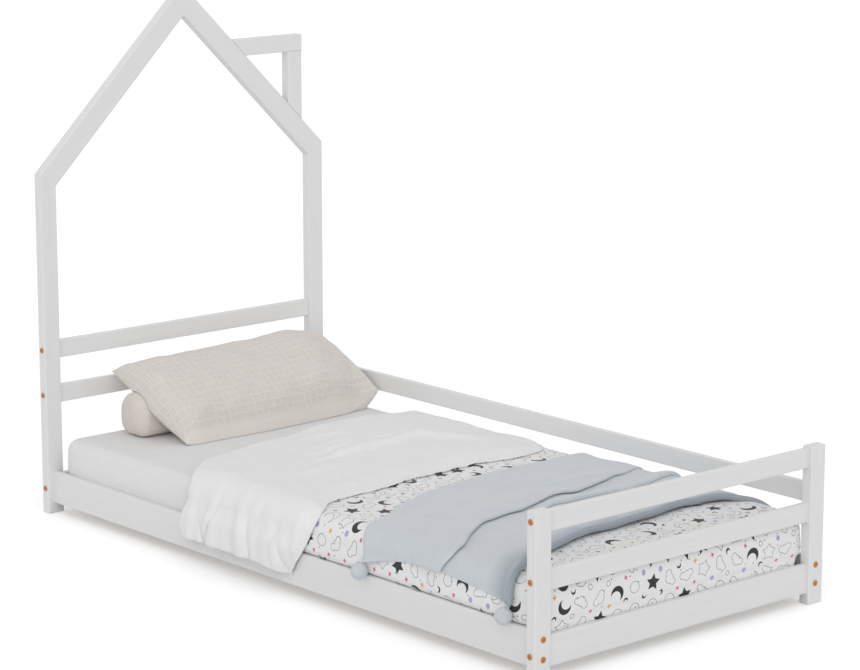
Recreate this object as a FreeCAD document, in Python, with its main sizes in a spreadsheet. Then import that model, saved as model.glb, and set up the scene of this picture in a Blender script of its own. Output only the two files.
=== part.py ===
import FreeCAD, Part
import math
import os
import re

import Sketcher
from FreeCAD import Placement, Rotation, Vector

# A floor-level single bed of painted pine whose headboard is the outline of a house.
# Frame: +Z up, +Y from the foot to the head, +X to the side with the guard rail.
# The origin is on the floor under the middle of the bed. Left is -X, right is +X.

SIZES = (
    ("bed_width", 980, "outside of the posts, across the bed"),
    ("bed_length", 1986, "outside of the posts, along the bed"),
    ("post_wide", 50, "post section across the bed"),
    ("post_deep", 30, "post and rafter section along the bed"),
    ("head_shoulder", 945, "height of the outer corner between head post and rafter"),
    ("roof_apex", 1427, "height of the ridge of the house outline"),
    ("rafter_wide", 60, "rafter section across its run"),
    ("foot_post_high", 405, "height of the foot posts"),
    ("edge_ease", 2.5, "radius on the edges of the frame timber"),
    ("rail_thick", 16, "thickness of every rail and board"),
    ("rail_high", 50, "height of the narrow rails"),
    ("board_high", 76, "height of the bottom boards of head and foot"),
    ("head_recess", 7, "head rails behind the inner faces of the head posts"),
    ("foot_recess", 9, "foot rails behind the outer faces of the foot posts"),
    ("head_upper_low", 433, "underside of the upper headboard rail"),
    ("head_lower_low", 308, "underside of the lower headboard rail"),
    ("head_board_low", 32, "underside of the bottom board of the headboard"),
    ("foot_top_low", 350, "underside of the top rail of the footboard"),
    ("foot_middle_low", 211, "underside of the middle rail of the footboard"),
    ("foot_board_low", 28, "underside of the bottom board of the footboard"),
    ("side_inset", 18, "side rail face inside the outer face of the posts"),
    ("side_low", 29, "underside of the side rails"),
    ("side_high", 90, "height of the side rails"),
    ("guard_low", 257, "underside of the guard rail"),
    ("chimney_top", 1262, "top of the chimney"),
    ("chimney_outer", 417, "outer face of the chimney from the middle of the bed"),
    ("chimney_bar_high", 48, "height of the chimney's top bar"),
    ("chimney_post_wide", 50, "width of the chimney's upright bar"),
    ("ledger_wide", 20, "slat support across the bed"),
    ("ledger_high", 25, "slat support height"),
    ("ledger_low", 45, "underside of the slat supports"),
    ("ledger_short", 3, "slat support ends short of the posts"),
    ("slat_count", 13, "slats across the bed"),
    ("slat_wide", 70, "slat width along the bed"),
    ("slat_thick", 18, "slat thickness"),
    ("slat_clear", 2, "slat end to side rail"),
    ("slat_ease", 1.5, "radius on the slats' edges"),
    ("bolt_dia", 6, "M6 connector bolt"),
    ("bolt_head_dia", 15, "flat bolt head"),
    ("bolt_head_thick", 2, "flat bolt head thickness"),
    ("hex_across", 4, "hexagon socket across flats"),
    ("hex_deep", 1.6, "hexagon socket depth"),
    ("cross_bolt_long", 90, "bolt through a post's width into a rail"),
    ("side_bolt_long", 70, "bolt through a post's depth into a side rail"),
    ("nut_dia", 10, "barrel nut diameter"),
    ("nut_long", 12, "barrel nut length"),
    ("nut_back", 8, "barrel nut axis before the tip of its bolt"),
    ("dowel_dia", 8, "beech dowel diameter"),
    ("dowel_in_post", 15, "dowel depth in the first piece"),
    ("dowel_in_rail", 20, "dowel depth in the second piece"),
    ("hole_play", 0.1, "radial clearance of bolts, nuts, dowels and screws"),
    ("screw_dia", 4, "wood screw diameter"),
    ("screw_head_dia", 8, "wood screw head diameter"),
    ("screw_head_high", 2.6, "wood screw head height"),
    ("screw_long", 30, "wood screw length"),
    ("bracket_thick", 2, "guard rail bracket sheet thickness"),
    ("bracket_leg", 30, "bracket leg on the guard rail"),
    ("bracket_foot", 17, "bracket leg on the post"),
    ("bracket_high", 30, "bracket height"),
    ("bracket_screw_long", 12, "bracket screw length"),
    ("pan_head_dia", 7, "bracket screw head diameter"),
    ("pan_head_high", 2, "bracket screw head height"),
    ("mattress_wide", 900, "mattress across the bed"),
    ("mattress_long", 1900, "mattress along the bed"),
    ("mattress_thick", 120, "mattress thickness"),
    ("mattress_corner", 45, "mattress corner radius in plan"),
    ("mattress_edge", 28, "mattress top edge radius"),
    ("sheet_thick", 1.5, "fitted sheet thickness"),
    ("soft_gap", 0.5, "air between two soft pieces"),
    ("bolster_dia", 125, "bolster diameter"),
    ("bolster_long", 620, "bolster length"),
    ("bolster_end", 14, "bolster end rounding"),
    ("bolster_x", 16, "middle of the bolster across the bed"),
    ("bolster_y", 841, "bolster axis along the bed"),
    ("pillow_wide", 715, "pillow between its side seams"),
    ("pillow_deep", 334, "pillow between its front and back seams"),
    ("pillow_x", 95, "middle of the pillow across the bed"),
    ("pillow_front", 650, "pillow's front seam along the bed"),
    ("pillow_front_high", 215, "height of the pillow's front seam"),
    ("pillow_tilt", 28, "pillow tilt against the bolster, degrees"),
    ("duvet_thick", 16, "duvet thickness on the mattress"),
    ("duvet_play", 0.5, "air between the duvet and the rails beside it"),
    ("duvet_shoulder", 46, "outer radius of the duvet over the mattress's long edges"),
    ("duvet_foot_edge", 6, "outer radius of the duvet over the mattress's foot edge"),
    ("duvet_bulge", 10, "how far the duvet's left side swells above the side rail"),
    ("duvet_tuck_low", 104, "lower edge of the duvet tucked inside the side rails"),
    ("duvet_foot", 961.5, "duvet's outer face at the foot"),
    ("duvet_fold", 404, "line where the duvet is folded back"),
    ("duvet_hem", -98, "hem of the part that is folded back"),
    ("hang_out", 491.5, "outer face of the hanging corner of the duvet"),
    ("hang_in", 474.5, "inner face of the hanging corner of the duvet"),
    ("hang_low", 62, "lower edge of the hanging corner of the duvet"),
    ("hang_folds", 5, "soft upright folds in the hanging corner"),
    ("hang_fold_deep", 6, "depth of these folds"),
    ("hang_lip", 24, "outer radius of the hanging corner over the duvet's shoulder"),
    ("throw_thick", 5, "one layer of the throw blanket"),
    ("throw_side_low", 160, "lower edge of the throw on the left side"),
    ("throw_far", 454, "far edge of the throw"),
    ("pom_dia", 19, "firm core of a pom-pom"),
    ("pom_x", -482, "pom-poms across the bed"),
    ("pom_knot_x", -472.5, "knots of the pom-poms' threads across the bed"),
    ("pom_knot_up", 5, "knots above the throw's lower edge"),
    ("pom_tie_dia", 2.4, "thread that ties a pom-pom to the throw"),
)

HOUSE_SLOPE = "((roof_apex - head_shoulder) / (bed_width / 2))"
RAFTER_DROP = f"(rafter_wide * sqrt(1 + {HOUSE_SLOPE}^2))"
INNER_SHOULDER = f"(head_shoulder + post_wide * {HOUSE_SLOPE} - {RAFTER_DROP})"
SLAT_TOP = "(ledger_low + ledger_high + slat_thick)"
SLAT_PITCH = "((bed_length - 2 * post_deep + slat_wide) / (slat_count + 1))"
SIDE_RAIL_MIDDLE = "(bed_width / 2 - side_inset - rail_thick / 2)"
HEAD_RAIL_MIDDLE = "(bed_length / 2 - post_deep + head_recess + rail_thick / 2)"
FOOT_RAIL_MIDDLE = "(-bed_length / 2 + foot_recess + rail_thick / 2)"
GUARD_MIDDLE = "(guard_low + rail_high / 2)"

SIDES = (("left", -1), ("right", 1))
# Each cross rail or board: end of the bed, underside, height and the height of its bolts.
CROSS_RAILS = {
    "headboard_upper_rail": ("head", "head_upper_low", "rail_high", 459),
    "headboard_lower_rail": ("head", "head_lower_low", "rail_high", 333),
    "headboard_bottom_board": ("head", "head_board_low", "board_high", 70),
    "footboard_top_rail": ("foot", "foot_top_low", "rail_high", 380),
    "footboard_middle_rail": ("foot", "foot_middle_low", "rail_high", 237),
    "footboard_bottom_board": ("foot", "foot_board_low", "board_high", 61.5),
}
SIDE_BOLT_HEIGHTS = (101, 53)
SIDE_DOWEL_HEIGHT = 86
DOWEL_EDGE = 10
MITRE_DOWELS = (0.3, 0.7)
APEX_DOWELS = (0.24, 0.54)
LEDGER_SCREW_STEPS = (-5.5, -3.5, -1.5, 1.5, 3.5, 5.5)
BRACKET_RAIL_SCREWS = (11, 23)
BRACKET_POST_SCREWS = (-9, 9)
BRACKET_POST_SCREW_IN = 9.5

X_AXIS, Y_AXIS, Z_AXIS = Vector(1, 0, 0), Vector(0, 1, 0), Vector(0, 0, 1)

doc = FreeCAD.newDocument("house_frame_bed")
size = {alias: value for alias, value, meaning in SIZES}
parts = {}
bases = {}
groups = {}


def fill_sheet():
    """Write the driving dimensions as plain numbers with aliases."""
    sheet = doc.addObject("Spreadsheet::Sheet", "Sizes")
    for row, (alias, value, meaning) in enumerate(SIZES, 1):
        sheet.set(f"A{row}", meaning)
        sheet.set(f"B{row}", str(value))
        sheet.setAlias(f"B{row}", alias)
    doc.recompute()


def sized(text):
    """Turn the alias words of an expression into references to the sheet."""
    return re.sub(r"[a-z][a-z_]+", lambda word: "Sizes." + word[0] if word[0] in size else word[0], str(text))


def bind(item, **bindings):
    """Bind properties of an object to expressions."""
    for name, text in bindings.items():
        item.setExpression(name, sized(text))


def bind_place(item, at):
    """Bind the place of an object to three expressions."""
    for axis, text in zip("xyz", at):
        item.setExpression(f"Placement.Base.{axis}", sized(text))


def side(sign, text):
    """The expression on the left (-1) or the right (+1) side of the bed."""
    return f"{sign} * ({text})"


def plane(body, role):
    """One of the origin planes or axes of a body."""
    return next(item for item in body.Origin.OriginFeatures if item.Role == role)


def outline_sketch(body, role, corners):
    """A closed polygon on an origin plane, every corner held by expressions from the origin."""
    sketch = body.newObject("Sketcher::SketchObject", body.Name + "_outline")
    sketch.AttachmentSupport = [(plane(body, role), "")]
    sketch.MapMode = "FlatFace"
    count = len(corners)
    turn = 2 * math.pi / count
    seeds = [Vector(math.cos(turn * i), math.sin(turn * i), 0) for i in range(count)]
    for i in range(count):
        sketch.addGeometry(Part.LineSegment(seeds[i], seeds[(i + 1) % count]), False)
    for i in range(count):
        sketch.addConstraint(Sketcher.Constraint("Coincident", i, 2, (i + 1) % count, 1))
    for i, corner in enumerate(corners):
        for kind, axis, text in (("DistanceX", -2, corner[0]), ("DistanceY", -1, corner[1])):
            if text == "0":
                sketch.addConstraint(Sketcher.Constraint("PointOnObject", i, 1, axis))
            else:
                index = sketch.addConstraint(Sketcher.Constraint(kind, -1, 1, i, 1, 1.0))
                sketch.setExpression(f"Constraints[{index}]", sized(text))
    return sketch


def edge_names(shape, keep):
    """Names of the edges that pass a test, for a fillet."""
    return [f"Edge{i}" for i, edge in enumerate(shape.Edges, 1) if keep(edge)]


def ease(body, keep, radius="edge_ease"):
    """Round the edges of a body that pass a test."""
    doc.recompute()
    base = body.Tip
    fillet = body.newObject("PartDesign::Fillet", body.Name + "_eased")
    fillet.Base = (base, edge_names(base.Shape, keep))
    bind(fillet, Radius=radius)
    return fillet


def long_edge(edge):
    """An edge that runs along a bar and not round its end."""
    return edge.Length > 1.5 * size["rafter_wide"]


def free_end(height):
    """A test for the long edges and for the edges round the free end at a height."""
    return lambda edge: long_edge(edge) or abs(edge.CenterOfMass.z - height) < 0.01


def board(name, role, corners, thickness, at, keep=long_edge, radius="edge_ease"):
    """A bar or board: its outline on an origin plane, padded by its thickness, with eased edges."""
    body = doc.addObject("PartDesign::Body", name)
    pad = body.newObject("PartDesign::Pad", name + "_pad")
    pad.Profile = outline_sketch(body, role, corners)
    pad.Reversed = role == "XZ_Plane"
    bind(pad, Length=thickness)
    body.Tip = pad
    ease(body, keep, radius)
    return add_part(body, name, at)


def add_part(item, name, at=("0", "0", "0")):
    """Name a sub-part, place it and list it for writing."""
    item.Label = name
    bind_place(item, at)
    parts[name] = item
    bases[name] = at
    return item


def box_corners(wide, high):
    """Corners of a rectangle from the origin."""
    return (("0", "0"), (wide, "0"), (wide, high), ("0", high))


def along(start, direction, distance):
    """The point at a distance from a start, as expressions."""
    return tuple(f"{text} + {step:.9f} * ({distance})" for text, step in zip(start, direction))


def drill(name, start, direction, radius, depth, kind="Cylinder", top="0"):
    """Cut a round hole, or a cone that narrows from radius to top, out of a placed body."""
    body = parts[name]
    cutter = body.newObject("PartDesign::Subtractive" + kind, name + "_hole")
    cutter.Placement = Placement(Vector(), Rotation(Z_AXIS, direction))
    bind_place(cutter, [f"{text} - ({base})" for text, base in zip(start, bases[name])])
    if kind == "Cone":
        bind(cutter, Radius1=radius, Radius2=top, Height=depth)
    else:
        bind(cutter, Radius=radius, Height=depth)


def revolved(name, corners):
    """A turned body: a half section in XZ turned about Z."""
    body = doc.addObject("PartDesign::Body", name)
    sketch = outline_sketch(body, "XZ_Plane", corners)
    turning = body.newObject("PartDesign::Revolution", name + "_turned")
    turning.Profile = sketch
    turning.ReferenceAxis = (sketch, ["V_Axis"])
    turning.Angle = 360
    body.Tip = turning
    return body


def repeat(group, master, at, direction, roll=0):
    """Put one more copy of a fastener into its group, its Z axis along a direction."""
    copy = doc.addObject("App::Link", master.Name + "_copy")
    copy.LinkedObject = master
    copy.Placement = Placement(Vector(), Rotation(Z_AXIS, direction) * Rotation(Z_AXIS, roll))
    bind_place(copy, at)
    groups.setdefault(group, []).append(copy)


def build_posts():
    """Four posts: the head posts end in a mitre under the rafters, the foot posts are square."""
    for word, sign in SIDES:
        inner = side(-sign, "post_wide")
        head_at = (side(sign, "bed_width / 2"), "bed_length / 2 - post_deep", "0")
        head = (("0", "0"), (inner, "0"), (inner, INNER_SHOULDER), ("0", "head_shoulder"))
        board(f"head_post_{word}", "XZ_Plane", head, "post_deep", head_at, free_end(0))
        foot_at = (side(sign, "bed_width / 2"), "-bed_length / 2", "0")
        foot = box_corners(inner, "foot_post_high")
        board(f"foot_post_{word}", "XZ_Plane", foot, "post_deep", foot_at, lambda edge: True)


def build_roof():
    """Two rafters that meet at the ridge, and a chimney of two bars on the right rafter."""
    head_inner = ("0", "bed_length / 2 - post_deep", "0")
    for word, sign in SIDES:
        outline = (
            (side(sign, "bed_width / 2"), "head_shoulder"),
            ("0", "roof_apex"),
            ("0", f"roof_apex - {RAFTER_DROP}"),
            (side(sign, "bed_width / 2 - post_wide"), INNER_SHOULDER),
        )
        board(f"roof_rafter_{word}", "XZ_Plane", outline, "post_deep", head_inner)
    foot_x = "(chimney_outer - chimney_post_wide)"
    bar_low = "(chimney_top - chimney_bar_high)"
    outline = (
        (f"(roof_apex - chimney_top) / {HOUSE_SLOPE}", "chimney_top"),
        ("chimney_outer", "chimney_top"),
        ("chimney_outer", bar_low),
        (f"(roof_apex - {bar_low}) / {HOUSE_SLOPE}", bar_low),
    )
    board("chimney_top_bar", "XZ_Plane", outline, "post_deep", head_inner)
    outline = (
        (foot_x, bar_low),
        ("chimney_outer", bar_low),
        ("chimney_outer", f"roof_apex - chimney_outer * {HOUSE_SLOPE}"),
        (foot_x, f"roof_apex - {foot_x} * {HOUSE_SLOPE}"),
    )
    board("chimney_side_bar", "XZ_Plane", outline, "post_deep", head_inner)


def build_rails():
    """Cross rails between the posts, side rails, the guard rail and the slat supports."""
    between = "bed_width - 2 * post_wide"
    for name, (end, low, high, bolt) in CROSS_RAILS.items():
        middle = HEAD_RAIL_MIDDLE if end == "head" else FOOT_RAIL_MIDDLE
        at = (f"-({between}) / 2", f"{middle} - rail_thick / 2", low)
        board(name, "XZ_Plane", box_corners(between, high), "rail_thick", at)
    run = "bed_length - 2 * post_deep"
    for word, sign in SIDES:
        at = (f"{side(sign, SIDE_RAIL_MIDDLE)} - rail_thick / 2", f"-({run}) / 2", "side_low")
        board(f"side_rail_{word}", "YZ_Plane", box_corners(run, "side_high"), "rail_thick", at)
        inner = f"{SIDE_RAIL_MIDDLE} - rail_thick / 2 - ledger_wide / 2"
        at = (f"{side(sign, inner)} - ledger_wide / 2", f"-({run}) / 2 + ledger_short", "ledger_low")
        corners = box_corners(f"{run} - 2 * ledger_short", "ledger_high")
        board(f"slat_support_{word}", "YZ_Plane", corners, "ledger_wide", at, radius="slat_ease")
    at = (f"{SIDE_RAIL_MIDDLE} - rail_thick / 2", f"-({run}) / 2", "guard_low")
    board("guard_rail", "YZ_Plane", box_corners(run, "rail_high"), "rail_thick", at)


def slat_y(index):
    """Middle of a slat along the bed; slat 0 is the one nearest the foot."""
    return f"({index} - (slat_count - 1) / 2) * {SLAT_PITCH}"


def build_slats():
    """Loose slats across the bed, spaced evenly with gaps under 75 mm."""
    half = f"({SIDE_RAIL_MIDDLE} - rail_thick / 2 - slat_clear)"
    for index in range(size["slat_count"]):
        at = (f"-{half}", f"{slat_y(index)} - slat_wide / 2", "ledger_low + ledger_high")
        corners = box_corners(f"2 * {half}", "slat_wide")
        board(f"slat_{index + 1:02d}", "XY_Plane", corners, "slat_thick", at, radius="slat_ease")


def make_fasteners():
    """One of each fastener, its axis on Z and its tip at +Z."""
    def bolt(name, length):
        rim = "bolt_head_thick / 3"
        body = revolved(name, (
            ("0", "-bolt_head_thick"),
            (f"bolt_head_dia / 2 - {rim}", "-bolt_head_thick"),
            ("bolt_head_dia / 2", f"-bolt_head_thick + {rim}"),
            ("bolt_head_dia / 2", "0"),
            ("bolt_dia / 2", "0"),
            ("bolt_dia / 2", length),
            ("0", length),
        ))
        socket = body.newObject("PartDesign::SubtractivePrism", name + "_socket")
        socket.Polygon = 6
        bind(socket, Circumradius="hex_across / sqrt(3)", Height="hex_deep")
        bind_place(socket, ("0", "0", "-bolt_head_thick"))
        return body

    def screw(name, length, head_dia, head_high, countersunk):
        shoulder = ("screw_dia / 2", head_high) if countersunk else ("screw_dia / 2", "0")
        top = (("0", "0"), (f"{head_dia} / 2", "0")) if countersunk else (
            ("0", f"-{head_high}"), (f"{head_dia} / 2", f"-{head_high}"), (f"{head_dia} / 2", "0"))
        tip = (("screw_dia / 2", f"{length} - screw_dia"), ("0", length))
        return revolved(name, top + (shoulder,) + tip)

    nut = doc.addObject("PartDesign::Body", "barrel_nut")
    barrel = nut.newObject("PartDesign::AdditiveCylinder", "barrel_nut_body")
    bind(barrel, Radius="nut_dia / 2", Height="nut_long")
    bases["barrel_nut"], parts["barrel_nut"] = ("0", "0", "0"), nut
    start = ("-nut_dia", "0", "nut_long / 2")
    drill("barrel_nut", start, X_AXIS, "bolt_dia / 2 + hole_play / 2", "2 * nut_dia")
    del parts["barrel_nut"]
    dowel = doc.addObject("Part::Cylinder", "dowel")
    bind(dowel, Radius="dowel_dia / 2", Height="dowel_in_post + dowel_in_rail")
    return {
        "cross_bolt": bolt("cross_bolt", "cross_bolt_long"),
        "side_bolt": bolt("side_bolt", "side_bolt_long"),
        "nut": nut,
        "dowel": dowel,
        "screw": screw("wood_screw", "screw_long", "screw_head_dia", "screw_head_high", True),
        "bracket_screw": screw("bracket_screw", "bracket_screw_long", "pan_head_dia", "pan_head_high", False),
        "bracket": make_bracket(),
    }


def make_bracket():
    """An angle bracket: its corner at the origin, one leg along -Y and one along +X."""
    body = doc.addObject("PartDesign::Body", "angle_bracket")
    sketch = outline_sketch(body, "XY_Plane", (
        ("0", "0"),
        ("bracket_foot", "0"),
        ("bracket_foot", "-bracket_thick"),
        ("bracket_thick", "-bracket_thick"),
        ("bracket_thick", "-bracket_leg"),
        ("0", "-bracket_leg"),
    ))
    pad = body.newObject("PartDesign::Pad", "angle_bracket_pad")
    pad.Profile = sketch
    pad.Midplane = True
    bind(pad, Length="bracket_high")
    body.Tip = pad
    parts["angle_bracket"], bases["angle_bracket"] = body, ("0", "0", "0")
    hole = "screw_dia / 2 + hole_play"
    for step in BRACKET_RAIL_SCREWS:
        drill("angle_bracket", ("-1", f"-{step}", "0"), X_AXIS, hole, "bracket_thick + 2")
    for step in BRACKET_POST_SCREWS:
        start = (f"{BRACKET_POST_SCREW_IN}", "-bracket_thick - 1", f"{step}")
        drill("angle_bracket", start, Y_AXIS, hole, "bracket_thick + 2")
    del parts["angle_bracket"]
    return body


def bolt_joint(masters, kind, post, rail, at, direction, nut_direction):
    """A bolt from a post's outer face into a rail, caught by a barrel nut let in from the hidden side."""
    length = f"{kind}_long"
    for name in (post, rail):
        drill(name, along(at, direction, "-1"), direction, "bolt_dia / 2 + hole_play", f"{length} + 2")
    repeat("cross_rail_bolts" if kind == "cross_bolt" else "side_rail_bolts", masters[kind], at, direction)
    axis_point = along(at, direction, f"{length} - nut_back")
    mouth = along(axis_point, nut_direction, "-rail_thick / 2 - 1")
    drill(rail, mouth, nut_direction, "nut_dia / 2 + hole_play", "rail_thick / 2 + 1 + nut_long / 2")
    start = along(axis_point, nut_direction, "-nut_long / 2")
    turned = Rotation(Z_AXIS, nut_direction).multVec(X_AXIS)
    roll = math.degrees(turned.getAngle(direction))
    repeat("barrel_nuts", masters["nut"], start, nut_direction, roll)


def dowel_joint(masters, first, second, at, direction):
    """A dowel across the touching faces of two pieces, its direction from the first to the second."""
    radius = "dowel_dia / 2 + hole_play"
    drill(first, at, direction * -1, radius, "dowel_in_post")
    drill(second, at, direction, radius, "dowel_in_rail")
    repeat("dowels", masters["dowel"], along(at, direction, "-dowel_in_post"), direction)


def join_cross_rails(masters):
    """Each end of a cross rail has one bolt and two dowels, its nut let in from the head side."""
    for name, (end, low, high, bolt) in CROSS_RAILS.items():
        middle = HEAD_RAIL_MIDDLE if end == "head" else FOOT_RAIL_MIDDLE
        for word, sign in SIDES:
            post = f"{end}_post_{word}"
            inward = X_AXIS * -sign
            at = (side(sign, "bed_width / 2"), middle, str(bolt))
            bolt_joint(masters, "cross_bolt", post, name, at, inward, Y_AXIS * -1)
            for height in (f"{low} + {DOWEL_EDGE}", f"{low} + {high} - {DOWEL_EDGE}"):
                at = (side(sign, "bed_width / 2 - post_wide"), middle, height)
                dowel_joint(masters, post, name, at, inward)


def join_side_rails(masters):
    """Each end of a side rail has two bolts and a dowel; the guard rail has dowels and a bracket."""
    ends = (("head", 1), ("foot", -1))
    for end, end_sign in ends:
        inward = Y_AXIS * -end_sign
        inner_y = side(end_sign, "bed_length / 2 - post_deep")
        for word, sign in SIDES:
            post, rail = f"{end}_post_{word}", f"side_rail_{word}"
            x = side(sign, SIDE_RAIL_MIDDLE)
            for height in SIDE_BOLT_HEIGHTS:
                at = (x, side(end_sign, "bed_length / 2"), str(height))
                bolt_joint(masters, "side_bolt", post, rail, at, inward, X_AXIS * sign)
            dowel_joint(masters, post, rail, (x, inner_y, str(SIDE_DOWEL_HEIGHT)), inward)
        for height in (f"guard_low + {DOWEL_EDGE}", f"guard_low + rail_high - {DOWEL_EDGE}"):
            at = (SIDE_RAIL_MIDDLE, inner_y, height)
            dowel_joint(masters, f"{end}_post_right", "guard_rail", at, inward)
        join_bracket(masters, end, end_sign, inner_y)


def join_bracket(masters, end, end_sign, inner_y):
    """The angle bracket on the outer side of the guard rail's end, with its four screws."""
    outer_x = f"({SIDE_RAIL_MIDDLE} + rail_thick / 2)"
    at = (outer_x, inner_y, GUARD_MIDDLE)
    bracket = doc.addObject("App::Link", "angle_bracket_copy")
    bracket.LinkedObject = masters["bracket"]
    bracket.Placement = Placement(Vector(), Rotation(X_AXIS, 0 if end_sign > 0 else 180))
    bind_place(bracket, at)
    groups.setdefault("guard_brackets", []).append(bracket)
    hole = "screw_dia / 2 + hole_play"
    for step in BRACKET_RAIL_SCREWS:
        start = (f"{outer_x} + bracket_thick", f"{inner_y} - {end_sign * step}", GUARD_MIDDLE)
        drill("guard_rail", start, X_AXIS * -1, hole, "bracket_screw_long")
        repeat("bracket_screws", masters["bracket_screw"], start, X_AXIS * -1)
    for step in BRACKET_POST_SCREWS:
        start = (f"{outer_x} + {BRACKET_POST_SCREW_IN}", f"{inner_y} - {end_sign} * bracket_thick",
                 f"{GUARD_MIDDLE} + {step}")
        drill(f"{end}_post_right", start, Y_AXIS * end_sign, hole, "bracket_screw_long")
        repeat("bracket_screws", masters["bracket_screw"], start, Y_AXIS * end_sign)


def join_roof(masters):
    """Dowels across the mitres, the ridge and the feet of the chimney."""
    slope = (size["roof_apex"] - size["head_shoulder"]) / (size["bed_width"] / 2)
    drop = size["rafter_wide"] * math.hypot(1, slope)
    mitre_drop = drop - size["post_wide"] * slope
    middle = "bed_length / 2 - post_deep / 2"
    for word, sign in SIDES:
        into_rafter = Vector(-sign * mitre_drop, 0, size["post_wide"]).normalize()
        for share in MITRE_DOWELS:
            at = (side(sign, f"bed_width / 2 - {share} * post_wide"), middle,
                  f"head_shoulder + {share} * ({INNER_SHOULDER} - head_shoulder)")
            dowel_joint(masters, f"head_post_{word}", f"roof_rafter_{word}", at, into_rafter)
    for share in APEX_DOWELS:
        at = ("0", middle, f"roof_apex - {RAFTER_DROP} + {share} * {RAFTER_DROP}")
        dowel_joint(masters, "roof_rafter_left", "roof_rafter_right", at, X_AXIS)
    out_of_roof = Vector(slope, 0, 1).normalize()
    for name, x in (("chimney_top_bar", f"(roof_apex - chimney_top + chimney_bar_high / 2) / {HOUSE_SLOPE}"),
                    ("chimney_side_bar", "chimney_outer - chimney_post_wide / 2")):
        at = (x, middle, f"roof_apex - ({x}) * {HOUSE_SLOPE}")
        dowel_joint(masters, name, "roof_rafter_right", at, out_of_roof * -1)
    at = ("chimney_outer - chimney_post_wide / 2", middle, "chimney_top - chimney_bar_high")
    dowel_joint(masters, "chimney_top_bar", "chimney_side_bar", at, Z_AXIS * -1)


def join_slats(masters):
    """Screws down through the slat ends, and sideways through the slat supports."""
    hole = "screw_dia / 2 + hole_play"
    rail_inner = f"({SIDE_RAIL_MIDDLE} - rail_thick / 2)"
    for word, sign in SIDES:
        x = side(sign, f"{rail_inner} - ledger_wide / 2")
        for index in range(size["slat_count"]):
            at = (x, slat_y(index), SLAT_TOP)
            for name in (f"slat_{index + 1:02d}", f"slat_support_{word}"):
                drill(name, at, Z_AXIS * -1, hole, "screw_long")
            drill(f"slat_{index + 1:02d}", at, Z_AXIS * -1, "screw_head_dia / 2 + hole_play",
                  "screw_head_high", "Cone", hole)
            repeat("wood_screws", masters["screw"], at, Z_AXIS * -1)
        for step in LEDGER_SCREW_STEPS:
            at = (side(sign, f"{rail_inner} - ledger_wide"), f"{step} * {SLAT_PITCH}",
                  "ledger_low + ledger_high / 2")
            outward = X_AXIS * sign
            for name in (f"slat_support_{word}", f"side_rail_{word}"):
                drill(name, at, outward, hole, "screw_long")
            drill(f"slat_support_{word}", at, outward, "screw_head_dia / 2 + hole_play",
                  "screw_head_high", "Cone", hole)
            repeat("wood_screws", masters["screw"], at, outward)


def gather_fasteners():
    """Join the copies of each fastener into one sub-part of separate solids."""
    for name, copies in groups.items():
        group = doc.addObject("Part::Compound", name)
        group.Links = copies
        add_part(group, name)


def soft_block(name, wide, long, low, high, corner, edge):
    """A block with rounded upright corners and a rounded top edge, centred on the bed."""
    body = doc.addObject("PartDesign::Body", name)
    corners = [(f"{i} * ({wide}) / 2", f"{j} * ({long}) / 2") for i, j in ((-1, -1), (1, -1), (1, 1), (-1, 1))]
    pad = body.newObject("PartDesign::Pad", name + "_pad")
    pad.Profile = outline_sketch(body, "XY_Plane", corners)
    bind(pad, Length=f"{high} - {low}")
    body.Tip = pad
    ease(body, lambda edge: abs(edge.tangentAt(edge.FirstParameter).z) > 0.9, corner)
    doc.recompute()
    top = body.Tip.Shape.BoundBox.ZMax
    ease(body, lambda edge: abs(edge.BoundBox.ZMin - top) < 0.01, edge)
    bind_place(body, ("0", "0", low))
    return body


def build_mattress():
    """The mattress on the slats, and the fitted sheet as a thin skin over its top and sides."""
    top = f"{SLAT_TOP} + mattress_thick"
    mattress = soft_block("mattress", "mattress_wide", "mattress_long", SLAT_TOP, top,
                          "mattress_corner", "mattress_edge")
    add_part(mattress, "mattress", ("0", "0", SLAT_TOP))
    skin = soft_block("sheet_outside", "mattress_wide + 2 * sheet_thick", "mattress_long + 2 * sheet_thick",
                      SLAT_TOP, f"{top} + sheet_thick", "mattress_corner + sheet_thick",
                      "mattress_edge + sheet_thick")
    sheet = doc.addObject("Part::Cut", "fitted_sheet")
    sheet.Base = skin
    sheet.Tool = mattress
    add_part(sheet, "fitted_sheet")


def build_bolster():
    """A round bolster across the head of the bed, turned about its own axis, with rounded ends."""
    body = revolved("bolster", (
        ("0", "-bolster_long / 2"),
        ("bolster_dia / 2 - bolster_end", "-bolster_long / 2"),
        ("bolster_dia / 2", "-bolster_long / 2 + bolster_end"),
        ("bolster_dia / 2", "bolster_long / 2 - bolster_end"),
        ("bolster_dia / 2 - bolster_end", "bolster_long / 2"),
        ("0", "bolster_long / 2"),
    ))
    doc.recompute()
    ease(body, lambda edge: edge.BoundBox.ZLength < 0.01 and edge.Length > 1, "bolster_end / 2")
    body.Placement = Placement(Vector(), Rotation(Z_AXIS, X_AXIS))
    add_part(body, "bolster", ("bolster_x", "bolster_y", BOLSTER_HIGH))


BOLSTER_HIGH = f"{SLAT_TOP} + mattress_thick + sheet_thick + soft_gap + bolster_dia / 2"


def soft_top():
    """Height of the fitted sheet's top."""
    slat_top = size["ledger_low"] + size["ledger_high"] + size["slat_thick"]
    return slat_top + size["mattress_thick"] + size["sheet_thick"]


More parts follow.
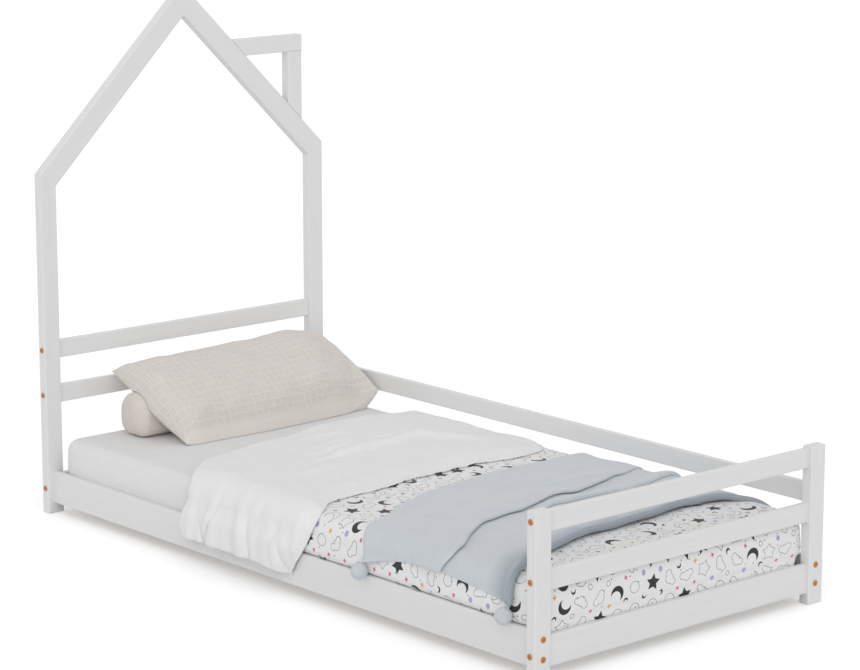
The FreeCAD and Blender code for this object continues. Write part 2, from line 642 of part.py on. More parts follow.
def face_of(points, normal_axis):
    """A flat face from corner points; a middle point in a pair makes an arc to the next corner."""
    edges = []
    place = {"x": lambda a, b: Vector(0, a, b), "y": lambda a, b: Vector(a, 0, b),
             "z": lambda a, b: Vector(a, b, 0)}[normal_axis]
    corners = [place(*point[:2]) for point in points]
    for i, point in enumerate(points):
        start, end = corners[i], corners[(i + 1) % len(points)]
        if len(point) == 4:
            edges.append(Part.Arc(start, place(*point[2:]), end).toShape())
        else:
            edges.append(Part.makeLine(start, end))
    return Part.Face(Part.Wire(edges))


def prism(points, normal_axis, start, end):
    """A prism along an axis from a start to an end."""
    direction = {"x": X_AXIS, "y": Y_AXIS, "z": Z_AXIS}[normal_axis]
    face = face_of(points, normal_axis)
    face.translate(direction * start)
    return face.extrude(direction * (end - start))


def cushion(wide, deep, steps):
    """A cushion: sections of two arcs lofted across it, its side seams drawn in between the corners."""
    wires = []
    half = deep / 2
    for share, over_high, under_high, drawn in steps:
        front = Vector(share * wide / 2, drawn - half, 0)
        back = Vector(share * wide / 2, half - drawn, 0)
        over = Part.Arc(front, Vector(front.x, 0, over_high), back).toShape()
        under = Part.Arc(back, Vector(front.x, 0, under_high), front).toShape()
        wires.append(Part.Wire([over, under]))
    shape = Part.makeLoft(wires, True, False)
    bow = SEAM_DRAWN / 2 + half ** 2 / (2 * SEAM_DRAWN)
    for word, sign in SIDES:
        centre = Vector(sign * (wide / 2 - SEAM_DRAWN + bow), 0, -wide / 2)
        shape = shape.cut(Part.makeCylinder(bow, wide, centre))
    return shape


SEAM_DRAWN = 14
# Across the pillow as a share of half its width: height of the upper and of the lower face above
# the seams at mid depth, and how far the front and back seams are drawn in.
PILLOW_STEPS = (
    (-1, 36, 27, 0),
    (-0.93, 58, 14, 5),
    (-0.75, 86, -22, 10),
    (-0.4, 104, -50, 13),
    (0, 110, -58, 13),
    (0.4, 104, -50, 13),
    (0.75, 86, -22, 10),
    (0.93, 58, 14, 5),
    (1, 36, 27, 0),
)


def build_pillow():
    """The pillow leans on the bolster, which presses a hollow into its belly."""
    tilt = math.radians(size["pillow_tilt"])
    half = size["pillow_deep"] / 2
    middle = Vector(size["pillow_x"], size["pillow_front"] + half * math.cos(tilt),
                    size["pillow_front_high"] + half * math.sin(tilt))
    shape = cushion(size["pillow_wide"], size["pillow_deep"], PILLOW_STEPS)
    shape.rotate(Vector(), X_AXIS, size["pillow_tilt"])
    radius = size["bolster_dia"] / 2 + 2 * size["soft_gap"]
    hollow_long = size["bolster_long"] + 4 * size["soft_gap"]
    hollow_start = Vector(size["bolster_x"] - hollow_long / 2, size["bolster_y"],
                          soft_top() + size["soft_gap"] + size["bolster_dia"] / 2) - middle
    hollow = Part.makeCylinder(radius, hollow_long, hollow_start, X_AXIS)
    below = Part.makeBox(hollow_long, 2 * radius, radius, hollow_start - Vector(0, radius, radius))
    shape = shape.cut(hollow).cut(below)
    pillow = doc.addObject("Part::Feature", "pillow")
    pillow.Shape = max(shape.Solids, key=lambda solid: solid.Volume)
    pillow.Placement = Placement(middle, Rotation())
    pillow.Label = "pillow"
    parts["pillow"] = pillow


# Plans of the bedding's edges, across and along the bed; four numbers start an arc through their
# second pair. The hem of the turned-back part runs from its left corner to its right one.
HEM_PLAN = ((-446, -168, -396, -140), (-347, -116), (0, -78), (426, -98))
THROW_HEAD_PLAN = ((454, -190), (-100, -202, -330, -270), (-490, -366))
THROW_FOOT_PLAN = ((-490, -895), (-250, -806, -90, -770), (120, -757, 300, -748), (454, -795))
THROW_FOLD_PLAN = ((-490, -655, -250, -545), (0, -488), (454, -415))
# The throw's lower edge on the left side, along the bed and above its lowest point, from foot to head.
THROW_HEM = ((-898, 6), (-884, 0, -620, 22), (-366, -4))
THROW_RUN = (-960, -150)
# The pom-poms: place along the bed, height, and place of the knot along the bed.
POM_POMS = ((-374, 133, -380), (-886, 139, -882))


def inside_rails():
    """Inner face of the side rails and the guard rail, from the middle of the bed."""
    return size["bed_width"] / 2 - size["side_inset"] - size["rail_thick"]


def duvet_section(grow, low):
    """The outside of the duvet across the bed: swelling on the left, straight beside the guard rail."""
    face = inside_rails() - size["duvet_play"] + grow
    swell = face + size["duvet_bulge"]
    top = soft_top() + size["soft_gap"] + size["duvet_thick"] + grow
    rail_top = size["side_low"] + size["side_high"] + 2
    shoulder = size["duvet_shoulder"] + grow
    sag = shoulder * (1 - math.cos(math.pi / 4))
    return (
        (-face, low),
        (-face, rail_top, -face - 0.75 * size["duvet_bulge"], (rail_top + top - shoulder) / 2),
        (-swell, top - shoulder, sag - swell, top - sag),
        (shoulder - swell, top),
        (face - shoulder, top, face - sag, top - sag),
        (face, top - shoulder),
        (face, low),
    )


def wavy_edge(out, deep, start, end, folds):
    """An edge of soft folds in plan: arcs that bulge out, between shallow valleys."""
    points = []
    step = (end - start) / folds
    for i in range(folds):
        points.append((-out + deep, start + i * step, -out, start + (i + 0.5) * step))
    return points + [(-out + deep, end)]


def mattress_room(room):
    """The room for the mattress inside the duvet, its upper edges and foot corners rounded alike."""
    half_wide = size["mattress_wide"] / 2 + room
    half_long = size["mattress_long"] / 2 + room
    low = size["duvet_tuck_low"] - 1
    high = soft_top() + size["soft_gap"] - low
    corner = Vector(-half_wide, -half_long, low)
    block = Part.makeBox(2 * half_wide, half_long + size["duvet_fold"] + 1, high, corner)
    upright = [edge for edge in block.Edges if edge.BoundBox.ZLength > 1 and edge.BoundBox.YMax < 0]
    block = block.makeFillet(size["mattress_corner"] + room, upright)
    upper = [edge for edge in block.Edges
             if edge.BoundBox.ZMin > low + high - 0.01 and edge.BoundBox.YMin < size["duvet_fold"]]
    return block.makeFillet(size["mattress_edge"] + room, upper)


def hanging_corner(upper, top):
    """The corner of the turned-back part that hangs outside the left rail, in soft upright folds."""
    rail, fold, hem = inside_rails(), size["duvet_fold"], size["duvet_hem"]
    out, inner, low, lip = size["hang_out"], size["hang_in"], size["hang_low"], size["hang_lip"]
    sag = lip * (1 - math.cos(math.pi / 4))
    root = 14 - rail
    section = (
        (-out, low - 10),
        (-out, upper - lip, sag - out, upper - sag),
        (lip - out, upper),
        (root, upper),
        (root, top - 6),
        (-rail - 8, top - 6, 4 - inner, top - 12),
        (-inner, top - 24),
        (-inner, low - 10),
    )
    # Seen from the left: along the bed and up, round from the corner that hangs lowest.
    outline = (
        (hem - 15, low - 2),
        (fold - 72, low + 10),
        (fold - 8, upper - 30),
        (fold - 2, upper + 1),
        (hem - 112, upper + 1),
        (hem - 85, upper - 60),
    )
    start = hem - 115
    folds = wavy_edge(out, size["hang_fold_deep"], start, fold, size["hang_folds"])
    shape = prism(section, "y", start - 5, fold + 10)
    shape = shape.common(prism([(root, start)] + folds + [(root, fold)], "z", 0, upper + 1))
    return shape.common(prism(outline, "x", -out - 1, 20 - rail))


def build_duvet():
    """The duvet: tucked inside the rails and the footboard, folded back, one corner hanging out."""
    rail, fold, thick = inside_rails(), size["duvet_fold"], size["duvet_thick"]
    top = soft_top() + size["soft_gap"] + thick
    upper = top + thick
    outside = prism(duvet_section(0, size["duvet_tuck_low"]), "y", -size["duvet_foot"], fold)
    foot_edges = [edge for edge in outside.Edges
                  if abs(edge.BoundBox.YMax + size["duvet_foot"]) < 0.01
                  and edge.BoundBox.XLength > size["mattress_wide"] / 2 and edge.BoundBox.ZMin > soft_top()]
    outside = outside.makeFillet(size["duvet_foot_edge"], foot_edges)
    inside = mattress_room(size["sheet_thick"] + size["soft_gap"])
    left, right = HEM_PLAN[0][0], HEM_PLAN[-1][0]
    roll = Part.makeCylinder(thick, right - left - 20, Vector(left + 10, fold, top), X_AXIS)
    back = prism(((left, fold),) + HEM_PLAN + ((right, fold),), "z", top - 1, upper)
    shape = outside.cut(inside).fuse([roll, back, hanging_corner(upper, top)]).removeSplitter()
    add_shape("duvet", shape)


def add_shape(name, shape):
    """List a soft piece whose shape is made by Part functions."""
    item = doc.addObject("Part::Feature", name)
    item.Shape = shape.Solids[0] if len(shape.Solids) == 1 else shape
    item.Placement = Placement()
    item.Label = name
    parts[name] = item


def build_throw():
    """The throw over the duvet, folded over on itself towards the head, falling over the left side."""
    gap, layer, low = size["soft_gap"], size["throw_thick"], size["throw_side_low"]
    reach, far = size["bed_width"] / 2, size["throw_far"]
    top = soft_top() + size["duvet_thick"]
    lower_edge = tuple(tuple(number + low * (i % 2) for i, number in enumerate(point)) for point in THROW_HEM)
    foot, head = THROW_RUN
    hem = prism(lower_edge + ((head, top), (head, 2 * top), (foot, 2 * top), (foot, top)), "x", -reach, far)

    def layer_between(inner, outer, plan):
        shell = prism(duvet_section(outer, low - 30), "y", foot, head)
        shell = shell.cut(prism(duvet_section(inner, low - 31), "y", foot, head))
        return shell.common(hem).common(prism(plan, "z", 0, 2 * top))

    lower = layer_between(gap, gap + layer, THROW_FOOT_PLAN + THROW_HEAD_PLAN)
    upper = layer_between(gap + layer - 0.2, gap + 2 * layer, THROW_FOLD_PLAN + THROW_HEAD_PLAN)
    blanket = lower.fuse(upper).removeSplitter()
    add_shape("throw_blanket", blanket)
    return blanket


def build_pom_poms(blanket):
    """Two pom-poms at the throw's left corners, each a firm core on a short thread."""
    poms = []
    for y, high, knot_y in POM_POMS:
        centre = Vector(size["pom_x"], y, high)
        knot = Vector(size["pom_knot_x"], knot_y, size["throw_side_low"] + size["pom_knot_up"])
        core = Part.makeSphere(size["pom_dia"] / 2, centre, knot - centre)
        tie = Part.makeCylinder(size["pom_tie_dia"] / 2, (knot - centre).Length, centre, knot - centre)
        pom = core.fuse(tie).cut(blanket)
        poms.append(max(pom.Solids, key=lambda solid: solid.Volume))
    add_shape("pom_poms", Part.makeCompound(poms))


def check_and_write():
    """Stop on any failed feature or bad solid, then write each sub-part to its own file."""
    doc.recompute()
    for item in doc.Objects:
        if "Invalid" in item.State or "Error" in item.State:
            raise RuntimeError(f"{item.Label} failed: {item.State}")
    os.makedirs("parts", exist_ok=True)
    for name, item in parts.items():
        shape = item.Shape
        if shape.isNull() or not shape.isValid() or not shape.Solids:
            raise RuntimeError(f"{name} has no valid solid")
        shape.exportStep(f"parts/{name}.step")
    print(len(parts), "sub-parts written")


def main():
    fill_sheet()
    build_posts()
    build_roof()
    build_rails()
    build_slats()
    masters = make_fasteners()
    join_cross_rails(masters)
    join_side_rails(masters)
    join_roof(masters)
    join_slats(masters)
    gather_fasteners()
    build_mattress()
    build_bolster()
    build_pillow()
    build_duvet()
    build_pom_poms(build_throw())
    check_and_write()


main()
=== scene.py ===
"""A floor-level bed whose headboard is the outline of a house, dressed with its mattress and bedding.

Frame: +Z up, +Y from the foot to the head, +X to the guard rail, metres. The timber and its fasteners come
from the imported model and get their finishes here. The mattress, sheet, bolster, pillow, duvet, throw and
pom-poms are surfaces worked out here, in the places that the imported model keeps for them.
"""
import math

import bmesh
import bpy
import numpy as np
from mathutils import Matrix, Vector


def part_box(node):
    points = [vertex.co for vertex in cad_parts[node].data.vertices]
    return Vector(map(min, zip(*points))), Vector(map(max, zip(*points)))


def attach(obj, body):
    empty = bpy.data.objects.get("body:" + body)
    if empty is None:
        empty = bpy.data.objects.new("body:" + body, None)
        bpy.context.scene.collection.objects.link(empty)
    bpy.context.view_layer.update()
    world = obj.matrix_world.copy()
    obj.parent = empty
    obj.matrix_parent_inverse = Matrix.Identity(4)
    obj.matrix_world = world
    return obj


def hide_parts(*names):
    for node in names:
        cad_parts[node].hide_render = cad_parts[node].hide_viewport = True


bl_info = {
    "name": "House frame bed",
    "version": (1, 0, 0),
    "blender": (4, 5, 0),
    "location": "3D View > Sidebar > House Bed",
    "description": "Finishes and bedding for a child's house frame bed",
    "category": "Object",
}

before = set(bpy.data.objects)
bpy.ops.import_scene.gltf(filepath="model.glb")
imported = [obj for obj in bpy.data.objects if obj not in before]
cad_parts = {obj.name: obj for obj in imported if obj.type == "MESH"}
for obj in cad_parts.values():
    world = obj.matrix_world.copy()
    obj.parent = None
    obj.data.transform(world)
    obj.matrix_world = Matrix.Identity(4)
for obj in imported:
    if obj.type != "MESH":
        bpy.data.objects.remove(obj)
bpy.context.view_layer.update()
MATTRESS_LOW, MATTRESS_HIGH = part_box("mattress")
RAIL_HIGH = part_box("side_rail_left")[1]
BOLSTER_LOW, BOLSTER_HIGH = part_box("bolster")

SHEET_TOP = MATTRESS_HIGH.z + 0.0015
SHEET_OFF = 0.0008  # from the mattress to the middle of the sheet's thickness
SHEET_HALF = 0.0006  # half the sheet's thickness
REST_HEIGHT = SHEET_TOP + 0.0006  # the lowest that the bolster and the pillow reach
DUVET_UNDER = SHEET_TOP + 0.001  # the duvet's underside
RAIL_TOP = RAIL_HIGH.z
QUARTER = math.pi / 2


def linear(hex_colour):
    """An sRGB hex colour as linear red, green and blue."""
    parts = [int(hex_colour[i:i + 2], 16) / 255 for i in (1, 3, 5)]
    return tuple(part / 12.92 if part <= 0.04045 else ((part + 0.055) / 1.055) ** 2.4 for part in parts)


# ---------------------------------------------------------------- sizes and colours that a user would change

def length(name, description, default, low=0.0, high=3.0):
    """A property that holds a length in metres."""
    return bpy.props.FloatProperty(name=name, description=description, default=default, min=low, max=high,
                                   precision=4, subtype="DISTANCE", unit="LENGTH")


def colour(name, description, default):
    """A property that holds a colour, given as sRGB hex."""
    return bpy.props.FloatVectorProperty(name=name, description=description, default=linear(default), size=3,
                                         min=0, max=1, subtype="COLOR")


class HouseBedSizes(bpy.types.PropertyGroup):
    """Sizes of the bedding; the timber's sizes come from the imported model."""
    mattress_corner: length("Mattress corner", "Radius of the mattress's upright corners", 0.045)
    mattress_edge: length("Mattress edge", "Radius of the mattress's top and bottom edges", 0.030)
    duvet_loft: length("Duvet loft", "Thickness of the duvet on the mattress", 0.016)
    duvet_shoulder: length("Duvet shoulder", "Outer radius of the duvet over the mattress's edge", 0.048)
    turned_loft: length("Turned-back loft", "Thickness of the part of the duvet that is folded back", 0.018)
    throw_layer: length("Throw layer", "Thickness of one layer of the throw", 0.0035)
    pom_diameter: length("Pom-pom diameter", "Pom-pom over the tips of its yarn", 0.0435)
    pillow_crown: length("Pillow crown", "Rise of the pillow's upper face above its seams", 0.099)
    weave_check: length("Pillow check", "Spacing of the woven check on the pillow", 0.022)
    print_cell: length("Print repeat", "Spacing of the large motifs of the print", 0.058)


class HouseBedColours(bpy.types.PropertyGroup):
    """Colours of the finishes."""
    paint: colour("Paint", "White satin paint of the timber", "#E1E1E1")
    pine: colour("Pine", "Bare pine of the slats", "#DDBE8E")
    bolt: colour("Bolts", "Bronze-plated steel of the bolts", "#BE8250")
    sheet: colour("Sheet", "Fitted sheet", "#E2E2E2")
    duvet: colour("Duvet", "White ground of the duvet cover", "#E9E9E9")
    throw: colour("Throw", "Knitted throw and its pom-poms", "#C9CED3")
    pillow: colour("Pillow", "Ground of the pillow's crinkled cotton", "#D6D0CA")
    bolster: colour("Bolster", "Linen of the bolster", "#D6CEC7")


# ---------------------------------------------------------------- curves and surfaces

def smooth(value, low, high):
    """The smooth step from 0 at low to 1 at high: 3t^2 - 2t^3 of the clipped share t."""
    share = np.clip((value - low) / (high - low), 0, 1)
    return share * share * (3 - 2 * share)


def through(knots, place):
    """A smooth curve through given points: cubic Hermite pieces, whose slopes come from neighbours."""
    across, height = np.array(knots, float).T
    slope = np.gradient(height, across)
    i = np.clip(np.searchsorted(across, place) - 1, 0, len(across) - 2)
    step = across[i + 1] - across[i]
    t = np.clip((place - across[i]) / step, 0, 1)
    return ((1 + 2 * t) * (1 - t) ** 2 * height[i] + t * (1 - t) ** 2 * step * slope[i]
            + t * t * (3 - 2 * t) * height[i + 1] + t * t * (t - 1) * step * slope[i + 1])


def rounded_path(corners, count):
    """Straight runs joined by tangent arcs, at even steps; a corner is (first, second, radius).

    An arc starts a tangent length, radius times the tangent of half the turn, before its corner.
    """
    corners = np.array(corners, float)
    path = [corners[0, :2]]
    for before, here, after in zip(corners, corners[1:], corners[2:]):
        way_in = (here - before)[:2] / np.linalg.norm((here - before)[:2])
        way_out = (after - here)[:2] / np.linalg.norm((after - here)[:2])
        turn = math.acos(np.clip(way_in @ way_out, -1, 1))
        if turn > 1e-4:
            towards = (way_out - way_in * math.cos(turn)) / math.sin(turn)
            angle = np.linspace(0, turn, 16)[:, None]
            start = here[:2] - way_in * here[2] * math.tan(turn / 2)
            path.extend(start + here[2] * (way_in * np.sin(angle) + towards * (1 - np.cos(angle))))
    path = np.array(path + [corners[-1, :2]])
    reached = np.concatenate([[0], np.cumsum(np.linalg.norm(np.diff(path, axis=0), axis=1))])
    even = np.linspace(0, reached[-1], count)
    return np.stack([np.interp(even, reached, path[:, 0]), np.interp(even, reached, path[:, 1])], -1)


def ripple(first, second, wavelength, seed, count=11):
    """Soft uneven waves of about -1 to 1: cosines along seeded directions, over the root of their count."""
    draw = np.random.default_rng(seed)
    total = 0
    for turn, phase, share in zip(draw.uniform(0, math.pi, count), draw.uniform(0, 2 * math.pi, count),
                                  draw.uniform(0.7, 1.6, count)):
        run = first * math.cos(turn) + second * math.sin(turn)
        total = total + np.cos(2 * math.pi * run / (wavelength * share) + phase)
    return total / math.sqrt(count)


def creases(first, second, lines):
    """Ridges along straight lines: a bell across each line that fades out at both of its ends.

    A line is (first start, second start, first end, second end, width, height).
    """
    total = np.zeros(np.broadcast(first, second).shape)
    for a0, b0, a1, b1, width, height in lines:
        run = math.hypot(a1 - a0, b1 - b0)
        along = ((first - a0) * (a1 - a0) + (second - b0) * (b1 - b0)) / run ** 2
        off = ((first - a0) * (b1 - b0) - (second - b0) * (a1 - a0)) / run
        fade = smooth(along, 0, 0.3) * smooth(along, 1, 0.6)
        total += height * fade * np.exp(-(off / width) ** 2)
    return total


def rimmed(count, share):
    """Places from 0 to 1: even, but at both ends spaced as round a quarter circle whose width is share."""
    rim = share * (1 - np.cos(np.linspace(0, QUARTER, 6)))
    return np.concatenate([rim[:-1], np.linspace(share, 1 - share, count), 1 - rim[-2::-1]])


def rim_round(distance, radius):
    """The share of a full thickness at a distance from a rim that is a quarter circle of that radius."""
    return np.sqrt(np.clip(1 - (1 - np.clip(distance / radius, 0, 1)) ** 2, 0, 1))


def normals(points):
    """Unit normals of a grid of points: the cross product of its column and row directions.

    Where columns run together, as on a level top's diagonals, the product vanishes and up is taken.
    """
    normal = np.cross(np.gradient(points, axis=1), np.gradient(points, axis=0))
    size = np.linalg.norm(normal, axis=-1, keepdims=True)
    return np.where(size > 1e-10, normal / np.maximum(size, 1e-10), (0, 0, 1))


def block_grid(half_wide, half_long, corner, inset, height):
    """A grid over a block with rounded upright corners: rows up its profile, columns round its outline.

    Each row is the outline moved inwards by its inset: straight sides, and quarter circles whose radius
    is the corner's less the inset, down to a point.
    """
    quarter = np.linspace(0, QUARTER, 11)
    inset = inset[:, None]
    radius = np.maximum(corner - inset, 0)
    columns = []
    for turn, straight in ((0, half_long), (1, half_wide), (2, half_long), (3, half_wide)):
        reach_x, reach_y = (half_wide, half_long) if turn % 2 == 0 else (half_long, half_wide)
        hold = np.maximum(corner, inset)
        run_x, run_y = np.maximum(reach_x - hold, 0), np.maximum(reach_y - hold, 0)
        arc = np.stack([run_x + radius * np.cos(quarter), run_y + radius * np.sin(quarter)], -1)
        count = int(straight / 0.02)
        share = np.linspace(-1, 1, count)[1:-1]
        side = np.stack(np.broadcast_arrays(run_x + radius, run_y * share), -1)
        local = np.concatenate([side, arc], 1)
        cosine, sine = round(math.cos(turn * QUARTER)), round(math.sin(turn * QUARTER))
        columns.append(np.stack([local[..., 0] * cosine - local[..., 1] * sine,
                                 local[..., 0] * sine + local[..., 1] * cosine], -1))
    plan = np.concatenate(columns, 1)
    plan = np.concatenate([plan, plan[:, :1]], 1)
    return np.concatenate([plan, np.broadcast_to(height[:, None, None], (*plan.shape[:2], 1))], -1)


def surface(name, grids, materials, merge=2e-5):
    """One mesh from grids of points, each (points, flat places, material number), closed where they meet.

    Each cell of a grid becomes a quad; points in the same place are merged, which closes seams and poles.
    """
    places, quads, flats, numbers, start = [], [], [], [], 0
    for points, flat, number in grids:
        index = start + np.arange(points.shape[0] * points.shape[1]).reshape(points.shape[:2])
        cells = np.stack([index[:-1, :-1], index[:-1, 1:], index[1:, 1:], index[1:, :-1]], -1).reshape(-1, 4)
        places.append(points.reshape(-1, 3))
        quads.append(cells)
        flats.append(flat.reshape(-1, 2)[cells.ravel() - start])
        numbers.append(np.full(len(cells), number))
        start += len(places[-1])
    mesh = bpy.data.meshes.new(name)
    mesh.from_pydata(np.concatenate(places), [], np.concatenate(quads))
    mesh.uv_layers.new(name="flat").data.foreach_set("uv", np.concatenate(flats).astype(np.float32).ravel())
    mesh.polygons.foreach_set("material_index", np.concatenate(numbers).astype(np.int32))
    for material in materials:
        mesh.materials.append(material)
    work = bmesh.new()
    work.from_mesh(mesh)
    bmesh.ops.remove_doubles(work, verts=work.verts, dist=merge)
    bmesh.ops.dissolve_degenerate(work, edges=work.edges, dist=1e-5)
    work.to_mesh(mesh)
    work.free()
    mesh.shade_smooth()
    piece = bpy.data.objects.new(name, mesh)
    bpy.context.scene.collection.objects.link(piece)
    return piece


def pad(name, middle, half, flat, materials, under=0, facing=None):
    """A soft layer with a closed rim: its faces lie half a thickness on either side of a middle surface.

    The flat places are one grid, or several stretches of columns, each a slice with its own places. The
    thickness is laid off along the middle's normals, or along those given as facing.
    """
    offset = (normals(middle) if facing is None else facing) * half[..., None]
    stretches = flat if isinstance(flat, list) else [(slice(None), flat)]
    grids = []
    for columns, places in stretches:
        grids.append(((middle + offset)[:, columns], places[:, columns], 0))
        grids.append(((middle - offset)[::-1, columns], places[::-1, columns], under))
    return surface(name, grids, materials)


def stack(first, second, third=None):
    """Two or three arrays as the coordinates of points."""
    parts = [first, second] if third is None else [first, second, third]
    return np.stack(np.broadcast_arrays(*parts), -1)


# ---------------------------------------------------------------- materials

def fill(tree, node, inputs):
    """Fill a node's inputs from numbers, colours and output sockets, or from nodes by their first output."""
    for key, value in inputs.items():
        if isinstance(value, bpy.types.Node):
            value = value.outputs[0]
        if isinstance(value, bpy.types.NodeSocket):
            tree.links.new(value, node.inputs[key])
        else:
            node.inputs[key].default_value = value


def add_node(tree, kind, inputs=None, **settings):
    """Add a shader node of a kind, set its settings, fill its inputs and return it."""
    node = tree.nodes.new("ShaderNode" + kind)
    for key, value in settings.items():
        setattr(node, key, value)
    fill(tree, node, inputs or {})
    return node


def new_material(name, base, roughness, **shader):
    """A material with its surface shader: (material, node tree, shader)."""
    material = bpy.data.materials.new(name)
    material.use_nodes = True
    tree = material.node_tree
    bsdf = tree.nodes["Principled BSDF"]
    bsdf.inputs["Base Color"].default_value = (*base, 1)
    bsdf.inputs["Roughness"].default_value = roughness
    for key, value in shader.items():
        bsdf.inputs[key.replace("_", " ").title().replace("Ior", "IOR")].default_value = value
    return material, tree, bsdf


def shade(base, factor):
    """A colour made darker or lighter by a factor, as four numbers."""
    return (*[min(1.0, part * factor) for part in base], 1)


def mottled(tree, pattern, base, dark, light, low=0.0, high=1.0):
    """A colour that a pattern varies between two factors of it, from the pattern's low to its high value."""
    tone = add_node(tree, "ValToRGB", {"Fac": pattern})
    for stop, place, factor in zip(tone.color_ramp.elements, (low, high), (dark, light)):
        stop.position = place
        stop.color = shade(base, factor)
    return tone


def crossed_bands(tree, source, scale, join, **more):
    """Sine bands along the cloth's two directions, joined by an operation."""
    bands = [add_node(tree, "TexWave", {"Vector": source, "Scale": scale, **more}, bands_direction=way)
             for way in ("X", "Y")]
    return add_node(tree, "Math", {0: bands[0], 1: bands[1]}, operation=join)


def grain_places(tree, turn):
    """Object places turned so that a piece's length lies along the pattern's X axis."""
    place = add_node(tree, "TexCoord")
    return add_node(tree, "Mapping", {"Vector": place.outputs["Object"], "Rotation": turn})


def painted_pine(name, base, turn):
    """Satin water-based paint rolled over planed pine: a fine stipple, and the grain just showing through."""
    material, tree, bsdf = new_material(name, base, 0.42, coat_weight=0.05)
    turned = grain_places(tree, turn)
    long = add_node(tree, "Mapping", {"Vector": turned, "Scale": (4, 90, 90)})
    grain = add_node(tree, "TexNoise", {"Vector": long, "Scale": 1.0, "Detail": 3.0, "Distortion": 0.4})
    stipple = add_node(tree, "TexNoise", {"Vector": turned, "Scale": 900.0, "Detail": 1.0})
    tone = mottled(tree, grain, base, 0.975, 1.0, 0.3, 0.7)
    gloss = add_node(tree, "MapRange", {"Value": grain, "To Min": 0.38, "To Max": 0.5})
    rough = add_node(tree, "Bump", {"Height": grain, "Strength": 0.25, "Distance": 0.0004})
    fine = add_node(tree, "Bump",
                    {"Height": stipple, "Strength": 0.15, "Distance": 0.0002, "Normal": rough})
    fill(tree, bsdf, {"Base Color": tone, "Roughness": gloss, "Normal": fine})
    return material


def bare_wood(name, base, turn, ring_scale, roughness=0.62):
    """Planed, unfinished timber: growth rings 4 to 8 mm apart cut along their length, and open grain."""
    material, tree, bsdf = new_material(name, base, roughness)
    turned = grain_places(tree, turn)
    squeezed = add_node(tree, "Mapping", {"Vector": turned, "Scale": (0.06, 1.0, 1.0)})
    rings = add_node(tree, "TexWave",
                     {"Vector": squeezed, "Scale": ring_scale, "Distortion": 6.0, "Detail": 3.0,
                      "Detail Scale": 1.2}, bands_direction="Y")
    tone = mottled(tree, rings, base, 0.78, 1.05)
    rough = add_node(tree, "Bump", {"Height": rings, "Strength": 0.2, "Distance": 0.0004})
    fill(tree, bsdf, {"Base Color": tone, "Normal": rough})
    return material


def plated_metal(name, base, roughness):
    """Plated steel: a fine drawn grain varies the gloss, so that a small head still catches the light."""
    material, tree, bsdf = new_material(name, base, roughness, metallic=1.0)
    place = add_node(tree, "TexCoord")
    grit = add_node(tree, "TexNoise", {"Vector": place.outputs["Object"], "Scale": 700.0, "Detail": 2.0})
    gloss = add_node(tree, "MapRange",
                     {"Value": grit, "To Min": roughness - 0.08, "To Max": roughness + 0.12})
    rough = add_node(tree, "Bump", {"Height": grit, "Strength": 0.1, "Distance": 0.0001})
    fill(tree, bsdf, {"Roughness": gloss, "Normal": rough})
    return material


def powder_coat(name, base):
    """White powder coat on steel sheet: the slight orange peel of a baked coat."""
    material, tree, bsdf = new_material(name, base, 0.4)
    place = add_node(tree, "TexCoord")
    peel = add_node(tree, "TexNoise", {"Vector": place.outputs["Object"], "Scale": 500.0})
    rough = add_node(tree, "Bump", {"Height": peel, "Strength": 0.2, "Distance": 0.0002})
    fill(tree, bsdf, {"Normal": rough})
    return material


def woven(name, base, thread, sheen, roughness=0.85, slub=0.06, flat=True):
    """Plain-woven or knitted cloth: threads crossing at a spacing, soft uneven slubs, and a matt sheen.

    The crossings are the product of two sine bands along the cloth's own directions.
    """
    material, tree, bsdf = new_material(name, base, roughness, sheen_weight=sheen, sheen_roughness=0.5)
    place = add_node(tree, "TexCoord")
    source = place.outputs["UV" if flat else "Object"]
    crossing = crossed_bands(tree, source, 1 / (thread * 3.2), "MULTIPLY", Distortion=0.6, Detail=1.0)
    slubs = add_node(tree, "TexNoise", {"Vector": source, "Scale": 45.0, "Detail": 4.0})
    tone = mottled(tree, slubs, base, 1 - slub, 1 + slub / 3, 0.3, 0.7)
    rough = add_node(tree, "Bump", {"Height": crossing, "Strength": 0.3, "Distance": thread / 3})
    fill(tree, bsdf, {"Base Color": tone, "Normal": rough})
    return material, tree, bsdf, source, tone, rough


def distance_from(tree, place, centre):
    """How far a flat place is from a centre."""
    off = add_node(tree, "VectorMath", {0: place, 1: (*centre, 0)}, operation="SUBTRACT")
    return add_node(tree, "VectorMath", {0: off}, operation="LENGTH").outputs["Value"]


def disc(tree, place, centre, radius):
    """Signed distance to a disc: below 0 inside it."""
    away = distance_from(tree, place, centre)
    return add_node(tree, "Math", {0: away, 1: radius}, operation="SUBTRACT")


def star(tree, place, points, tip, notch):
    """Signed distance to a star: the angle is folded into half a point, whose edge runs from tip to notch."""
    parts = add_node(tree, "SeparateXYZ", {0: place})
    angle = add_node(tree, "Math", {0: parts.outputs["Y"], 1: parts.outputs["X"]}, operation="ARCTAN2")
    sector = math.pi / points
    folded = add_node(tree, "Math", {0: angle, 1: sector}, operation="PINGPONG")
    away = distance_from(tree, place, (0, 0))
    edge = (notch * math.cos(sector) - tip, notch * math.sin(sector))
    size = math.hypot(*edge)
    out = (edge[1] / size, -edge[0] / size)
    cosine = add_node(tree, "Math", {0: folded}, operation="COSINE")
    sine = add_node(tree, "Math", {0: folded}, operation="SINE")
    first = add_node(tree, "Math", {0: cosine, 1: out[0]}, operation="MULTIPLY")
    both = add_node(tree, "Math", {0: sine, 1: out[1], 2: first}, operation="MULTIPLY_ADD")
    reach = add_node(tree, "Math", {0: both, 1: away}, operation="MULTIPLY")
    return add_node(tree, "Math", {0: reach, 1: tip * out[0]}, operation="SUBTRACT")


